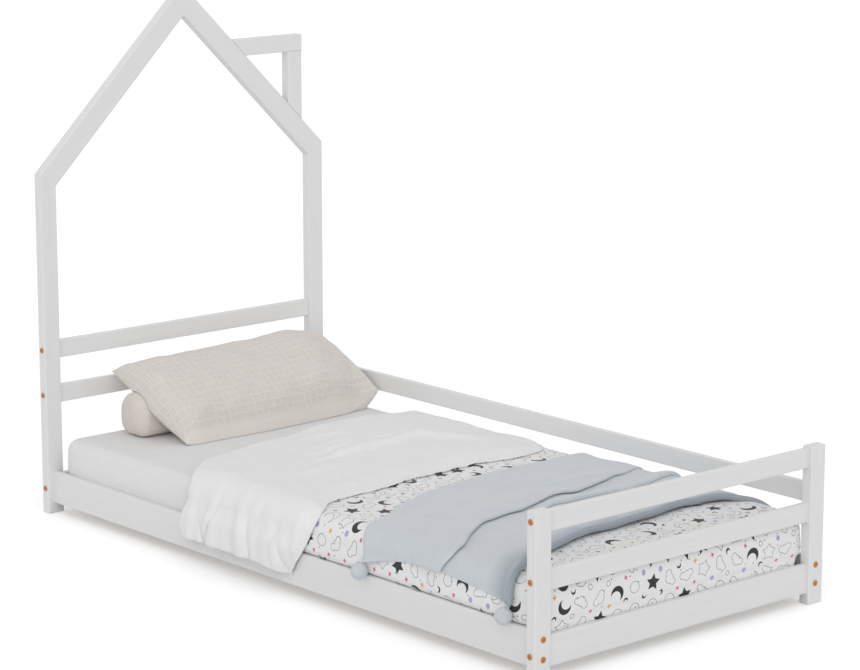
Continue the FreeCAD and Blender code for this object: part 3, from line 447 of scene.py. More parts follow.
def crescent(tree, place, radius):
    """Signed distance to a crescent: a disc less a disc of nearly its size beside it."""
    whole = disc(tree, place, (0, 0), radius)
    bite = disc(tree, place, (0.45 * radius, 0.2 * radius), 0.78 * radius)
    kept = add_node(tree, "Math", {0: bite, 1: -1.0}, operation="MULTIPLY")
    return add_node(tree, "Math", {0: whole, 1: kept}, operation="MAXIMUM")


def cloud(tree, place, size):
    """Signed distance to a cloud: three discs run together."""
    parts = [disc(tree, place, (-0.62 * size, -0.12 * size), 0.42 * size),
             disc(tree, place, (0, 0.1 * size), 0.62 * size),
             disc(tree, place, (0.65 * size, -0.1 * size), 0.45 * size)]
    pair = add_node(tree, "Math", {0: parts[0], 1: parts[1], 2: 0.1 * size}, operation="SMOOTH_MIN")
    return add_node(tree, "Math", {0: pair, 1: parts[2], 2: 0.1 * size}, operation="SMOOTH_MIN")


def cross(tree, place, reach, thick):
    """Signed distance to a plus sign: the nearer of two bars."""
    size = add_node(tree, "VectorMath", {0: place}, operation="ABSOLUTE")
    parts = add_node(tree, "SeparateXYZ", {0: size})
    bars = []
    for long, short in (("X", "Y"), ("Y", "X")):
        end = add_node(tree, "Math", {0: parts.outputs[long], 1: reach}, operation="SUBTRACT")
        side = add_node(tree, "Math", {0: parts.outputs[short], 1: thick}, operation="SUBTRACT")
        bars.append(add_node(tree, "Math", {0: end, 1: side}, operation="MAXIMUM"))
    return add_node(tree, "Math", {0: bars[0], 1: bars[1]}, operation="MINIMUM")


def outlined(tree, form, width):
    """The line along a form's edge: its distance without its sign, less half the line's width."""
    near = add_node(tree, "Math", {0: form}, operation="ABSOLUTE")
    return add_node(tree, "Math", {0: near, 1: width / 2}, operation="SUBTRACT")


def scattered(tree, source, spacing, shift, wander, seed):
    """A place per cell of a square lattice, wandering and turned: (place from its centre, draw of 0 to 1)."""
    moved = add_node(tree, "VectorMath", {0: source, 1: (shift * spacing, shift * spacing, 0)},
                     operation="ADD")
    scaled = add_node(tree, "VectorMath", {0: moved, 1: (1 / spacing,) * 3}, operation="MULTIPLY")
    cell = add_node(tree, "VectorMath", {0: scaled}, operation="FLOOR")
    inside = add_node(tree, "VectorMath", {0: scaled}, operation="FRACTION")
    keyed = add_node(tree, "VectorMath", {0: cell, 1: (0.5, 0.5, seed)}, operation="ADD")
    drawn = add_node(tree, "TexWhiteNoise", {"Vector": keyed}, noise_dimensions="3D")
    wandered = add_node(tree, "VectorMath",
                        {0: drawn.outputs["Color"], 1: (wander, wander, 0), 2: (0.5 - wander / 2,) * 3},
                        operation="MULTIPLY_ADD")
    off = add_node(tree, "VectorMath", {0: inside, 1: wandered}, operation="SUBTRACT")
    level = add_node(tree, "VectorMath", {0: off, 1: (spacing, spacing, 0)}, operation="MULTIPLY")
    turn = add_node(tree, "Math", {0: drawn.outputs["Value"], 1: 2 * math.pi}, operation="MULTIPLY")
    place = add_node(tree, "VectorRotate", {"Vector": level, "Angle": turn}, rotation_type="Z_AXIS")
    draw = add_node(tree, "SeparateXYZ", {0: drawn.outputs["Color"]})
    return place, draw.outputs["Z"]


def printed_percale(name, base, cell):
    """Printed cotton percale: black stars and moons, clouds in thin grey line and small coloured accents.

    Each motif is a signed distance, worked out in the cloth's own flat metres, and inked where it is below 0.
    """
    material, tree, bsdf, source, tone, _ = woven(name, base, 0.0011, 0.15, slub=0.03)
    ink, grey = linear("#26262A"), linear("#7C7C80")
    line, blur = 0.0015, 0.0003
    place, draw = scattered(tree, source, cell, 0.0, 0.12, 1.0)
    large = ((0.00, 0.17, star(tree, place, 5, 0.40 * cell, 0.20 * cell), ink),
             (0.17, 0.32, crescent(tree, place, 0.35 * cell), ink),
             (0.32, 0.58, outlined(tree, cloud(tree, place, 0.36 * cell), line), grey),
             (0.58, 0.76, outlined(tree, star(tree, place, 5, 0.38 * cell, 0.24 * cell), line), grey),
             (0.76, 0.90, outlined(tree, crescent(tree, place, 0.34 * cell), line), grey),
             (0.90, 1.01, outlined(tree, disc(tree, place, (0, 0), 0.26 * cell), line), grey))
    layers = [(draw, *motif) for motif in large]
    place, draw = scattered(tree, source, cell, 0.5, 0.10, 2.0)
    small = ((0.00, 0.22, cross(tree, place, 0.0052, 0.0017), linear("#D4547E")),
             (0.22, 0.44, star(tree, place, 4, 0.0075, 0.0030), linear("#D9A441")),
             (0.44, 0.62, disc(tree, place, (0, 0), 0.0064), linear("#A9A6CF")),
             (0.62, 0.82, crescent(tree, place, 0.0072), ink),
             (0.82, 1.01, outlined(tree, disc(tree, place, (0, 0), 0.006), line), grey))
    layers.extend((draw, *motif) for motif in small)
    place, draw = scattered(tree, source, cell * 0.5, 0.25, 0.5, 3.0)
    layers.append((draw, 0.0, 0.42, disc(tree, place, (0, 0), 0.0016), ink))
    mixed = tone.outputs["Color"]
    for draw, low, high, form, dye in layers:
        above = add_node(tree, "Math", {0: draw, 1: low}, operation="GREATER_THAN")
        below = add_node(tree, "Math", {0: draw, 1: high}, operation="LESS_THAN")
        chosen = add_node(tree, "Math", {0: above, 1: below}, operation="MULTIPLY")
        inked = add_node(tree, "MapRange", {"Value": form, "From Min": blur, "From Max": -blur})
        shown = add_node(tree, "Math", {0: chosen, 1: inked}, operation="MULTIPLY")
        layer = add_node(tree, "Mix", {"Factor": shown, "A": mixed, "B": (*dye, 1)}, data_type="RGBA")
        mixed = layer.outputs[2]
    fill(tree, bsdf, {"Base Color": mixed})
    return material


def crinkled_check(name, base, check, hem):
    """Crinkled cotton: soft raised lines in a wandering square check, lighter than the cloth between them.

    The check stops at a distance hem before the middle of the cloth, which leaves a plain front border; that
    border is painted a tenth lighter, as painted light on the pillow's front face.
    """
    material, tree, bsdf, source, tone, rough = woven(name, base, 0.0016, 0.25, slub=0.05)
    drift = add_node(tree, "TexNoise", {"Vector": source, "Scale": 22.0, "Detail": 2.0})
    moved = add_node(tree, "VectorMath",
                     {0: drift.outputs["Color"], 1: (0.010, 0.010, 0), 2: source}, operation="MULTIPLY_ADD")
    bands = crossed_bands(tree, moved, math.pi / 10 / check, "MAXIMUM")
    lines = add_node(tree, "MapRange", {"Value": bands, "From Min": 0.80, "From Max": 1.0})
    parts = add_node(tree, "SeparateXYZ", {0: source})
    # This mask ends the check at the plain front border, and there the colour is painted a tenth lighter as
    # painted light on the pillow's front face.
    hem_and_painted_light_mask = add_node(tree, "MapRange", {"Value": parts.outputs["Y"], "From Min": -hem - 0.01,
                                                      "From Max": -hem + 0.01})
    raised = add_node(tree, "Math", {0: lines, 1: hem_and_painted_light_mask}, operation="MULTIPLY")
    ground_and_painted_light = add_node(tree, "Mix", {"Factor": hem_and_painted_light_mask, "A": shade(base, 1.10),
                                              "B": tone.outputs["Color"]}, data_type="RGBA")
    pale = add_node(tree, "Mix", {"Factor": raised, "A": ground_and_painted_light.outputs[2], "B": shade(base, 1.07)},
                    data_type="RGBA")
    relief = add_node(tree, "Bump", {"Height": raised, "Strength": 0.6, "Distance": 0.0014, "Normal": rough})
    fill(tree, bsdf, {"Base Color": pale.outputs[2], "Normal": relief})
    return material


def brushed_knit(name, base):
    """Brushed cotton knit, with a darker blue-grey band painted along its foot edge as painted shade on the
    rolled edge.
    """
    material, tree, bsdf, source, tone, _ = woven(name, base, 0.0022, 0.35, slub=0.03)
    parts = add_node(tree, "SeparateXYZ", {0: source})
    # Painted shade: the colour darkens to a blue-grey within 15 mm of the foot edge and fades back by 110 mm,
    # standing in for the shadow on the rolled foot edge.
    turned = add_node(tree, "MapRange", {"Value": parts.outputs["Y"], "From Min": 0.015,
                                                   "From Max": 0.11, "To Min": 1.0, "To Max": 0.0},
                      interpolation_type="SMOOTHSTEP")
    painted_shade_colour = (*[part * share for part, share in zip(base, (0.555, 0.60, 0.65))], 1)
    knit_with_painted_shade = add_node(tree, "Mix", {"Factor": turned, "A": tone.outputs["Color"],
                                            "B": painted_shade_colour}, data_type="RGBA")
    fill(tree, bsdf, {"Base Color": knit_with_painted_shade.outputs[2]})
    return material


DIAMOND = 0.060  # spacing of the stitched lines


def ticking(name, base):
    """Quilted white mattress ticking: diamonds of stitching that press into the cloth."""
    material, tree, bsdf, source, _, rough = woven(name, base, 0.0014, 0.1, flat=False)
    turned = add_node(tree, "Mapping", {"Vector": source, "Rotation": (0, 0, math.pi / 4)})
    lines = crossed_bands(tree, turned, math.pi / 10 / DIAMOND, "MAXIMUM")
    stitch = add_node(tree, "MapRange", {"Value": lines, "From Min": 0.93, "From Max": 1.0,
                                         "To Min": 1.0, "To Max": 0.0})
    pressed = add_node(tree, "Bump", {"Height": stitch, "Strength": 0.8, "Distance": 0.002, "Normal": rough})
    fill(tree, bsdf, {"Normal": pressed})
    return material


# ---------------------------------------------------------------- operators

class HOUSEBED_OT_frame(bpy.types.Operator):
    """Give the timber and the fasteners their finishes"""
    bl_idname = "house_bed.frame"
    bl_label = "Finish the frame"

    def execute(self, context):
        colours = context.scene.house_bed_colours
        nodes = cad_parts
        turns = {"across": (0, 0, 0), "along": (0, 0, QUARTER), "upright": (0, QUARTER, 0),
                 "left_slope": (0, math.radians(44.5), 0), "right_slope": (0, math.radians(-44.5), 0)}
        paints = {way: painted_pine(f"satin_paint_on_pine_{way}", colours.paint, turn)
                  for way, turn in turns.items()}
        ways = {"post": "upright", "chimney_side": "upright", "rail_left": "along", "rail_right": "along",
                "guard_rail": "along", "rafter_left": "left_slope", "rafter_right": "right_slope"}
        slat_wood = bare_wood("planed_pine", colours.pine, (0, 0, 0), 9.0)
        ledger_wood = bare_wood("planed_pine_along", colours.pine, (0, 0, QUARTER), 9.0)
        finishes = {
            "dowels": bare_wood("beech_dowel", linear("#D9B58A"), (0, 0, 0), 30.0),
            "cross_rail_bolts": plated_metal("bronze_plated_steel", colours.bolt, 0.45),
            "barrel_nuts": plated_metal("zinc_plated_steel", linear("#B9BBBE"), 0.38),
            "guard_brackets": powder_coat("white_powder_coat", linear("#E2E2E2")),
        }
        finishes["side_rail_bolts"] = finishes["cross_rail_bolts"]
        finishes["wood_screws"] = finishes["bracket_screws"] = finishes["barrel_nuts"]
        for name, node in nodes.items():
            way = next((ways[word] for word in ways if word in name), "across")
            finish = finishes.get(name, paints[way])
            if name.startswith("slat_support"):
                finish = ledger_wood
            elif name.startswith("slat_"):
                finish = slat_wood
            for slot in node.material_slots:
                slot.material = finish
        return {"FINISHED"}


class HOUSEBED_OT_mattress(bpy.types.Operator):
    """Make the mattress: a foam block with rounded corners and edges in quilted ticking"""
    bl_idname = "house_bed.mattress"
    bl_label = "Make the mattress"

    def execute(self, context):
        sizes = context.scene.house_bed_sizes
        low, high = MATTRESS_LOW, MATTRESS_HIGH
        edge = sizes.mattress_edge
        path = rounded_path(((edge, low.z, 0), (0, low.z, 0.012), (0, high.z, edge), (0.2, high.z, 0)), 44)
        below, above = np.linspace(high.x, edge, 14)[:-1], np.linspace(0.2, high.x, 12)[1:]
        inset = np.concatenate([below, path[:, 0], above])
        height = np.concatenate([np.full(len(below), low.z), path[:, 1], np.full(len(above), high.z)])
        points = block_grid(high.x, high.y, sizes.mattress_corner, inset, height)
        piece = surface("mattress_foam", [(points, points[..., :2], 0)],
                        [ticking("quilted_ticking", linear("#E8E6E2"))])
        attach(piece, "mattress")
        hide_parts("mattress")
        return {"FINISHED"}


# Creases in the sheet's left side, from its upper edge down to the rail.
SHEET_CREASES = ((0.738, 0.212, 0.688, 0.118, 0.008, 0.0026), (0.670, 0.222, 0.630, 0.116, 0.007, 0.0026),
                 (0.580, 0.205, 0.538, 0.124, 0.009, 0.0024), (0.870, 0.200, 0.862, 0.124, 0.010, 0.0016))


class HOUSEBED_OT_fitted_sheet(bpy.types.Operator):
    """Make the fitted sheet: a thin skin stretched over the mattress, its sides gathered a little"""
    bl_idname = "house_bed.fitted_sheet"
    bl_label = "Make the fitted sheet"

    def execute(self, context):
        sizes = context.scene.house_bed_sizes
        half_wide, half_long = MATTRESS_HIGH.x + SHEET_OFF, MATTRESS_HIGH.y + SHEET_OFF
        low, top = MATTRESS_LOW.z + SHEET_OFF, MATTRESS_HIGH.z + SHEET_OFF
        edge = sizes.mattress_edge + SHEET_OFF
        path = rounded_path(((0, low, 0), (0, top, edge), (0.1, top, 0)), 40)
        above = np.linspace(0.1, half_wide, 40)[1:]
        inset = np.concatenate([path[:, 0], above])
        height = np.concatenate([path[:, 1], np.full(len(above), top)])
        middle = block_grid(half_wide, half_long, sizes.mattress_corner, inset, height)
        x, y, z = np.moveaxis(middle, -1, 0)
        side = smooth(z, top - 0.02, top - 0.07)
        run = np.where(abs(x) > half_wide - 0.03, y, x)
        gathers = 0.5 + 0.5 * ripple(run, np.sign(x), 0.06, 21)
        middle = middle + normals(middle) * (side * gathers * 0.0011)[..., None]
        free = smooth(y, 0.335, 0.40) * smooth(y, 0.93, 0.88) * (x < -half_wide + 0.04)
        bagged = 0.0038 * smooth(z, 0.092, 0.108) + 0.0028 * smooth(z, RAIL_TOP, 0.140)
        bagged = bagged * smooth(z, 0.190, 0.150)
        middle[..., 0] -= free * (bagged + creases(y, z, SHEET_CREASES) * smooth(z, RAIL_TOP, 0.132))
        half = np.full(middle.shape[:2], SHEET_HALF)
        half[0] = 0
        flat = stack(x + np.sign(x) * (top - z) * (abs(x) > half_wide - 0.03),
                     y + np.sign(y) * (top - z) * (abs(y) > half_long - 0.03))
        cotton = woven("cotton_jersey", context.scene.house_bed_colours.sheet, 0.0012, 0.1, slub=0.02)[0]
        piece = pad("fitted_sheet_cotton", middle, half, flat, [cotton])
        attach(piece, "mattress")
        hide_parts("fitted_sheet")
        return {"FINISHED"}


BOLSTER_DOME = 0.038  # length of its domed ends
BOLSTER_TIP = 0.010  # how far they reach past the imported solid


class HOUSEBED_OT_bolster(bpy.types.Operator):
    """Make the bolster: a stuffed roll with domed ends, squarer below, where its weight spreads it"""
    bl_idname = "house_bed.bolster"
    bl_label = "Make the bolster"

    def execute(self, context):
        low, high = BOLSTER_LOW, BOLSTER_HIGH
        centre = (low + high) / 2
        even = (1 - np.cos(np.linspace(0, math.pi, 30))) / 2
        near = low.x - BOLSTER_TIP + BOLSTER_DOME * even
        far = high.x + BOLSTER_TIP - BOLSTER_DOME * even
        x = np.concatenate([near, np.linspace(near[-1], far[-1], 90)[1:-1], far[::-1]])[:, None]
        angle = np.linspace(0, 2 * math.pi, 129)[None, :]
        full = bolster_radius(x)
        end = np.minimum(x - low.x, high.x - x) + BOLSTER_TIP
        pucker = np.exp(-abs(end - BOLSTER_DOME) / 0.02) * smooth(full, 0.02, 0.05)
        gathers = 0.5 + 0.5 * ripple(np.cos(angle) * 0.2, np.sin(angle) * 0.2, 0.045, 31)
        dents = 0.5 + 0.5 * ripple(x, 0.12 * np.sin(angle / 2), 0.13, 32)
        away = full - 0.0016 * pucker * gathers
        away = away - 0.0014 * dents * smooth(away, 0.02, 0.05)
        squarer = np.where(angle < math.pi, 1.0, 0.56)
        y = centre.y + away * np.sign(np.cos(angle)) * abs(np.cos(angle)) ** squarer
        z = centre.z + away * np.sign(np.sin(angle)) * abs(np.sin(angle)) ** squarer
        points = stack(x, y, np.maximum(z, REST_HEIGHT))
        linen = woven("washed_linen", context.scene.house_bed_colours.bolster, 0.0014, 0.2, slub=0.06)[0]
        piece = surface("bolster_roll", [(points, stack(x, angle * 0.0625), 0)], [linen])
        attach(piece, "bolster")
        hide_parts("bolster")
        return {"FINISHED"}


def bolster_radius(x):
    """The bolster's radius along its length: full between its domed ends, each a superellipse."""
    radius = (BOLSTER_HIGH.z - BOLSTER_LOW.z) / 2
    end = np.minimum(x - BOLSTER_LOW.x, BOLSTER_HIGH.x - x) + BOLSTER_TIP
    inside = np.clip(end, 0, BOLSTER_DOME) / BOLSTER_DOME
    return radius * np.maximum(1 - (1 - inside) ** 2.6, 0) ** (1 / 2.2)


PILLOW_DEPTH = 0.105  # from the seams down to the underside, before it rests on anything
PILLOW_HEM = 0.170  # from the middle of the upper face to the plain front border
# The pillow's seams, each as (share of half its width, place): the left front corner rests on the sheet
# and the right one is held up.
PILLOW_FRONT = ((-1, 0.657), (-0.93, 0.652), (-0.65, 0.649), (-0.19, 0.644), (0.36, 0.650), (0.64, 0.657),
                (0.85, 0.666), (1, 0.656))
PILLOW_FRONT_HIGH = ((-1, 0.2145), (-0.93, 0.2125), (0, 0.2125), (0.5, 0.2125), (0.8, 0.221), (0.92, 0.243),
                     (1, 0.263))
PILLOW_BACK = ((-1, 0.955), (-0.9, 0.944), (-0.5, 0.938), (0, 0.936), (0.5, 0.938), (0.9, 0.942), (1, 0.947))
PILLOW_BACK_HIGH = ((-1, 0.373), (-0.8, 0.373), (0, 0.378), (0.8, 0.384), (1, 0.386))
PILLOW_FOLDS = ((-0.23, 0.66, -0.12, 0.74, 0.012, 0.003), (-0.25, 0.93, -0.15, 0.86, 0.014, 0.003),
                (0.43, 0.68, 0.33, 0.75, 0.013, 0.003), (0.42, 0.93, 0.32, 0.88, 0.014, 0.003))


def pillow_faces(sizes):
    """The pillow's upper and lower faces: the surface between its seams, swollen outwards by its filling.

    Across runs from -1 to 1 between the side seams, and deep from -1 at the front seam to 1 at the back one.
    The filling rises as a power of the distance from the seams, so that both faces leave them steeply.
    """
    across = np.sin(np.linspace(-QUARTER, QUARTER, 161))[None, :]
    deep = np.sin(np.linspace(-QUARTER, QUARTER, 101))[:, None]
    share = (deep + 1) / 2
    low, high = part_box("pillow")
    left = low.x + 0.0195 - 0.033 * smooth(share, 0, 0.45)
    right = high.x - 0.010 - 0.004 * share
    front, front_high = through(PILLOW_FRONT, across), through(PILLOW_FRONT_HIGH, across)
    back, back_high = through(PILLOW_BACK, across), through(PILLOW_BACK_HIGH, across)
    # The surface between the seams, which humps at its left end where it lies over the bolster.
    x = (left + right) / 2 + across * (right - left) / 2
    y = front + (back - front) * share
    z = front_high + (back_high - front_high) * share
    z = z + 0.060 * share * (1 - share) * smooth(share, 0.05, 0.3) * smooth(across, -0.80, -0.99)
    # How much filling lies above and below each place, and the way out of the leaning surface.
    slope = np.arctan2(back_high - front_high, back - front)
    out = stack(0, -np.sin(slope), np.cos(slope))
    ends = 1 - abs(across) ** np.where(across < 0, 9.0, 2.7)
    fill = (ends * (1 - abs(deep) ** 2.5)) ** 0.5
    over = sizes.pillow_crown * fill * (1 + 0.24 * np.exp(-((across - 0.56) / 0.26) ** 2))
    under_ends = np.where(across < 0, (1 - abs(across) ** 2.5) ** 0.8, (1 - abs(across) ** 4) ** 0.45)
    under = PILLOW_DEPTH * under_ends * (1 - abs(deep) ** 2.5) ** 0.35
    # Folds and gathers, which fade out at the seams.
    seam = np.minimum(1 - abs(across), 1 - abs(deep))
    folds = 0.0022 * ripple(x, y * 1.3, 0.08, 41) + creases(x, y, PILLOW_FOLDS)
    gathers = 0.0022 * ripple(x, y, 0.035, 42) * np.exp(-seam / 0.08)
    upper = stack(x, y, z) + out * (over + (folds + gathers) * smooth(seam, 0, 0.12))[..., None]
    # The front is held back to a nearly upright wall above its seam: a soft maximum of the two places.
    upright = front + 0.06 * (upper[..., 2] - front_high)
    blend = 0.012 * smooth(share, 0, 0.06)
    upper[..., 1] = (upper[..., 1] + upright + np.hypot(upper[..., 1] - upright, blend)) / 2
    lower = stack(x, y + 0.01 * fill, z - under)
    # Both faces rest on what lies below, and share their rim.
    upper, lower = rest_on(upper), rest_on(lower)
    lower[[0, -1]], lower[:, [0, -1]] = upper[[0, -1]], upper[:, [0, -1]]
    return upper, lower


class HOUSEBED_OT_pillow(bpy.types.Operator):
    """Make the pillow: it leans over the bolster, full at its front and thin at its back ears"""
    bl_idname = "house_bed.pillow"
    bl_label = "Make the pillow"

    def execute(self, context):
        sizes = context.scene.house_bed_sizes
        upper, lower = pillow_faces(sizes)
        colours = context.scene.house_bed_colours
        check = crinkled_check("crinkled_check_cotton", colours.pillow, sizes.weave_check, PILLOW_HEM)
        plain = woven("plain_back_cotton", colours.pillow, 0.0016, 0.25, slub=0.05)[0]
        piece = surface("pillow_filled", [(upper, cloth_places(upper), 0),
                                          (lower[::-1], cloth_places(lower)[::-1], 1)], [check, plain])
        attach(piece, "pillow")
        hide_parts("pillow")
        return {"FINISHED"}


def cloth_places(points):
    """Flat places of a grid of cloth: distances along its rows and columns from its middle row and column."""
    across = np.linalg.norm(np.diff(points, axis=1, prepend=points[:, :1]), axis=-1).cumsum(axis=1)
    down = np.linalg.norm(np.diff(points, axis=0, prepend=points[:1]), axis=-1).cumsum(axis=0)
    middle = [count // 2 for count in points.shape[:2]]
    return stack(across - across[:, middle[1]:middle[1] + 1], down - down[middle[0]:middle[0] + 1])


def rest_on(points):
    """Lift points off the sheet, and above the top of the bolster where they would lie inside it."""
    axis_y, axis_z = (BOLSTER_LOW.y + BOLSTER_HIGH.y) / 2, (BOLSTER_LOW.z + BOLSTER_HIGH.z) / 2
    x, y, z = np.moveaxis(points, -1, 0)
    radius = bolster_radius(x) + 0.001
    roll = axis_z + np.sqrt(np.maximum(radius ** 2 - (y - axis_y) ** 2, 0))
    z = np.where((abs(y - axis_y) < radius) & (radius > 0.002), np.maximum(z, roll), z)
    return stack(x, y, np.maximum(z, REST_HEIGHT))


# ---------------------------------------------------------------- the duvet and what lies on it

DUVET_TUCK = 0.096  # height of the tucked hem
DUVET_SIDE = 0.4536  # middle of its thickness at the side, from the middle of the bed
DUVET_FOOT = 0.9612
DUVET_CORNER = 0.050
DUVET_BULGE = 0.0065  # how far its sides swell over the side rails
TUCKED_SIDE, TUCKED_FOOT = 0.0016, 0.0050  # half its thickness where it is squeezed beside the rails
DUVET_RIM = 0.08  # how far in from the side its level top is reached
PROFILE_STEPS = 64
# The side's profile, from its hem up over the rail's top, each as (inset, height, radius).
DUVET_HEM = ((0, DUVET_TUCK, 0), (0, RAIL_TOP + 0.0024, 0.002), (-0.0095, RAIL_TOP + 0.003, 0.006),
             (-0.0100, 0.142, 0.02), (-DUVET_BULGE, 0.172, 0.03))
TURNED_LEFT, TURNED_RIGHT = -0.607, 0.437  # sides of the part that is folded back, as distances across
# Where the duvet is folded and where its turned-back part ends, each as (distance across, place along).
FOLD_LINE = ((-0.62, 0.300), (-0.605, 0.332), (-0.583, 0.348), (-0.55, 0.343), (-0.516, 0.328),
             (-0.475, 0.326), (-0.44, 0.350), (-0.40, 0.386), (-0.30, 0.420), (-0.13, 0.455), (0.0, 0.480),
             (0.1, 0.505), (0.2, 0.512), (0.3, 0.500), (0.44, 0.485))
HEM_LINE = ((-0.63, -0.075), (-0.607, -0.088), (-0.571, -0.115), (-0.539, -0.140), (-0.506, -0.160),
            (-0.460, -0.176), (-0.420, -0.156), (-0.385, -0.126), (-0.346, -0.116), (-0.209, -0.106),
            (-0.011, -0.077), (0.213, -0.078), (0.340, -0.090), (0.395, -0.078), (0.44, -0.030))
# Ridges and hollows of the turned-back part: on the bed, and on the part that hangs out.
TOP_CREASES = ((-0.20, 0.18, 0.30, 0.25, 0.016, 0.0150), (-0.17, 0.24, 0.27, 0.285, 0.012, 0.0110),
               (-0.12, 0.29, 0.20, 0.33, 0.013, 0.0060), (-0.06, 0.40, 0.13, 0.37, 0.015, 0.0060),
               (0.20, 0.28, 0.36, 0.03, 0.020, 0.0090), (-0.34, 0.10, -0.08, 0.13, 0.020, 0.0050))
PANEL_FOLDS = ((-0.455, 0.178, -0.700, 0.285, 0.007, -0.0060), (-0.535, 0.269, -0.660, 0.231, 0.006, -0.0060),
               (-0.490, 0.222, -0.620, 0.272, 0.006, -0.0030), (-0.485, 0.073, -0.700, 0.033, 0.006, -0.0065),
               (-0.520, -0.057, -0.700, -0.105, 0.006, -0.0070),
               (-0.430, -0.098, -0.580, -0.008, 0.008, -0.0030),
               (-0.450, 0.003, -0.560, 0.070, 0.008, -0.0030), (-0.455, 0.200, -0.680, 0.300, 0.009, 0.0040),
               (-0.460, 0.102, -0.700, 0.070, 0.013, 0.0040), (-0.490, -0.030, -0.700, -0.078, 0.010, 0.0045),
               (-0.450, -0.135, -0.700, -0.085, 0.011, 0.0060), (-0.445, 0.285, -0.680, 0.322, 0.013, 0.0055))


def duvet_puff(x, y):
    """How far the filling swells above the duvet's level: soft uneven hills, 0 to about 4 mm."""
    return 0.0018 * (1 + ripple(x, y, 0.22, 51)) + 0.0005 * (1 + ripple(x, y, 0.07, 52))


def over_duvet(across, along, height, sizes):
    """A place at a height above the duvet, from its distance across, measured round the duvet's outside.

    Flat on top, then round a quarter circle at the shoulder, then straight down.
    """
    radius = sizes.duvet_shoulder
    top = DUVET_UNDER + sizes.duvet_loft
    reach = DUVET_SIDE + DUVET_BULGE + sizes.duvet_loft / 2 - radius
    bend = np.clip((abs(across) - reach) / radius, 0, QUARTER)
    drop = np.maximum(abs(across) - reach - radius * QUARTER, 0)
    x = np.sign(across) * (np.minimum(abs(across), reach) + (radius + height) * np.sin(bend))
    z = top - radius + (radius + height) * np.cos(bend) - drop + duvet_puff(x, along) * np.cos(bend)
    return stack(x, along, z), drop


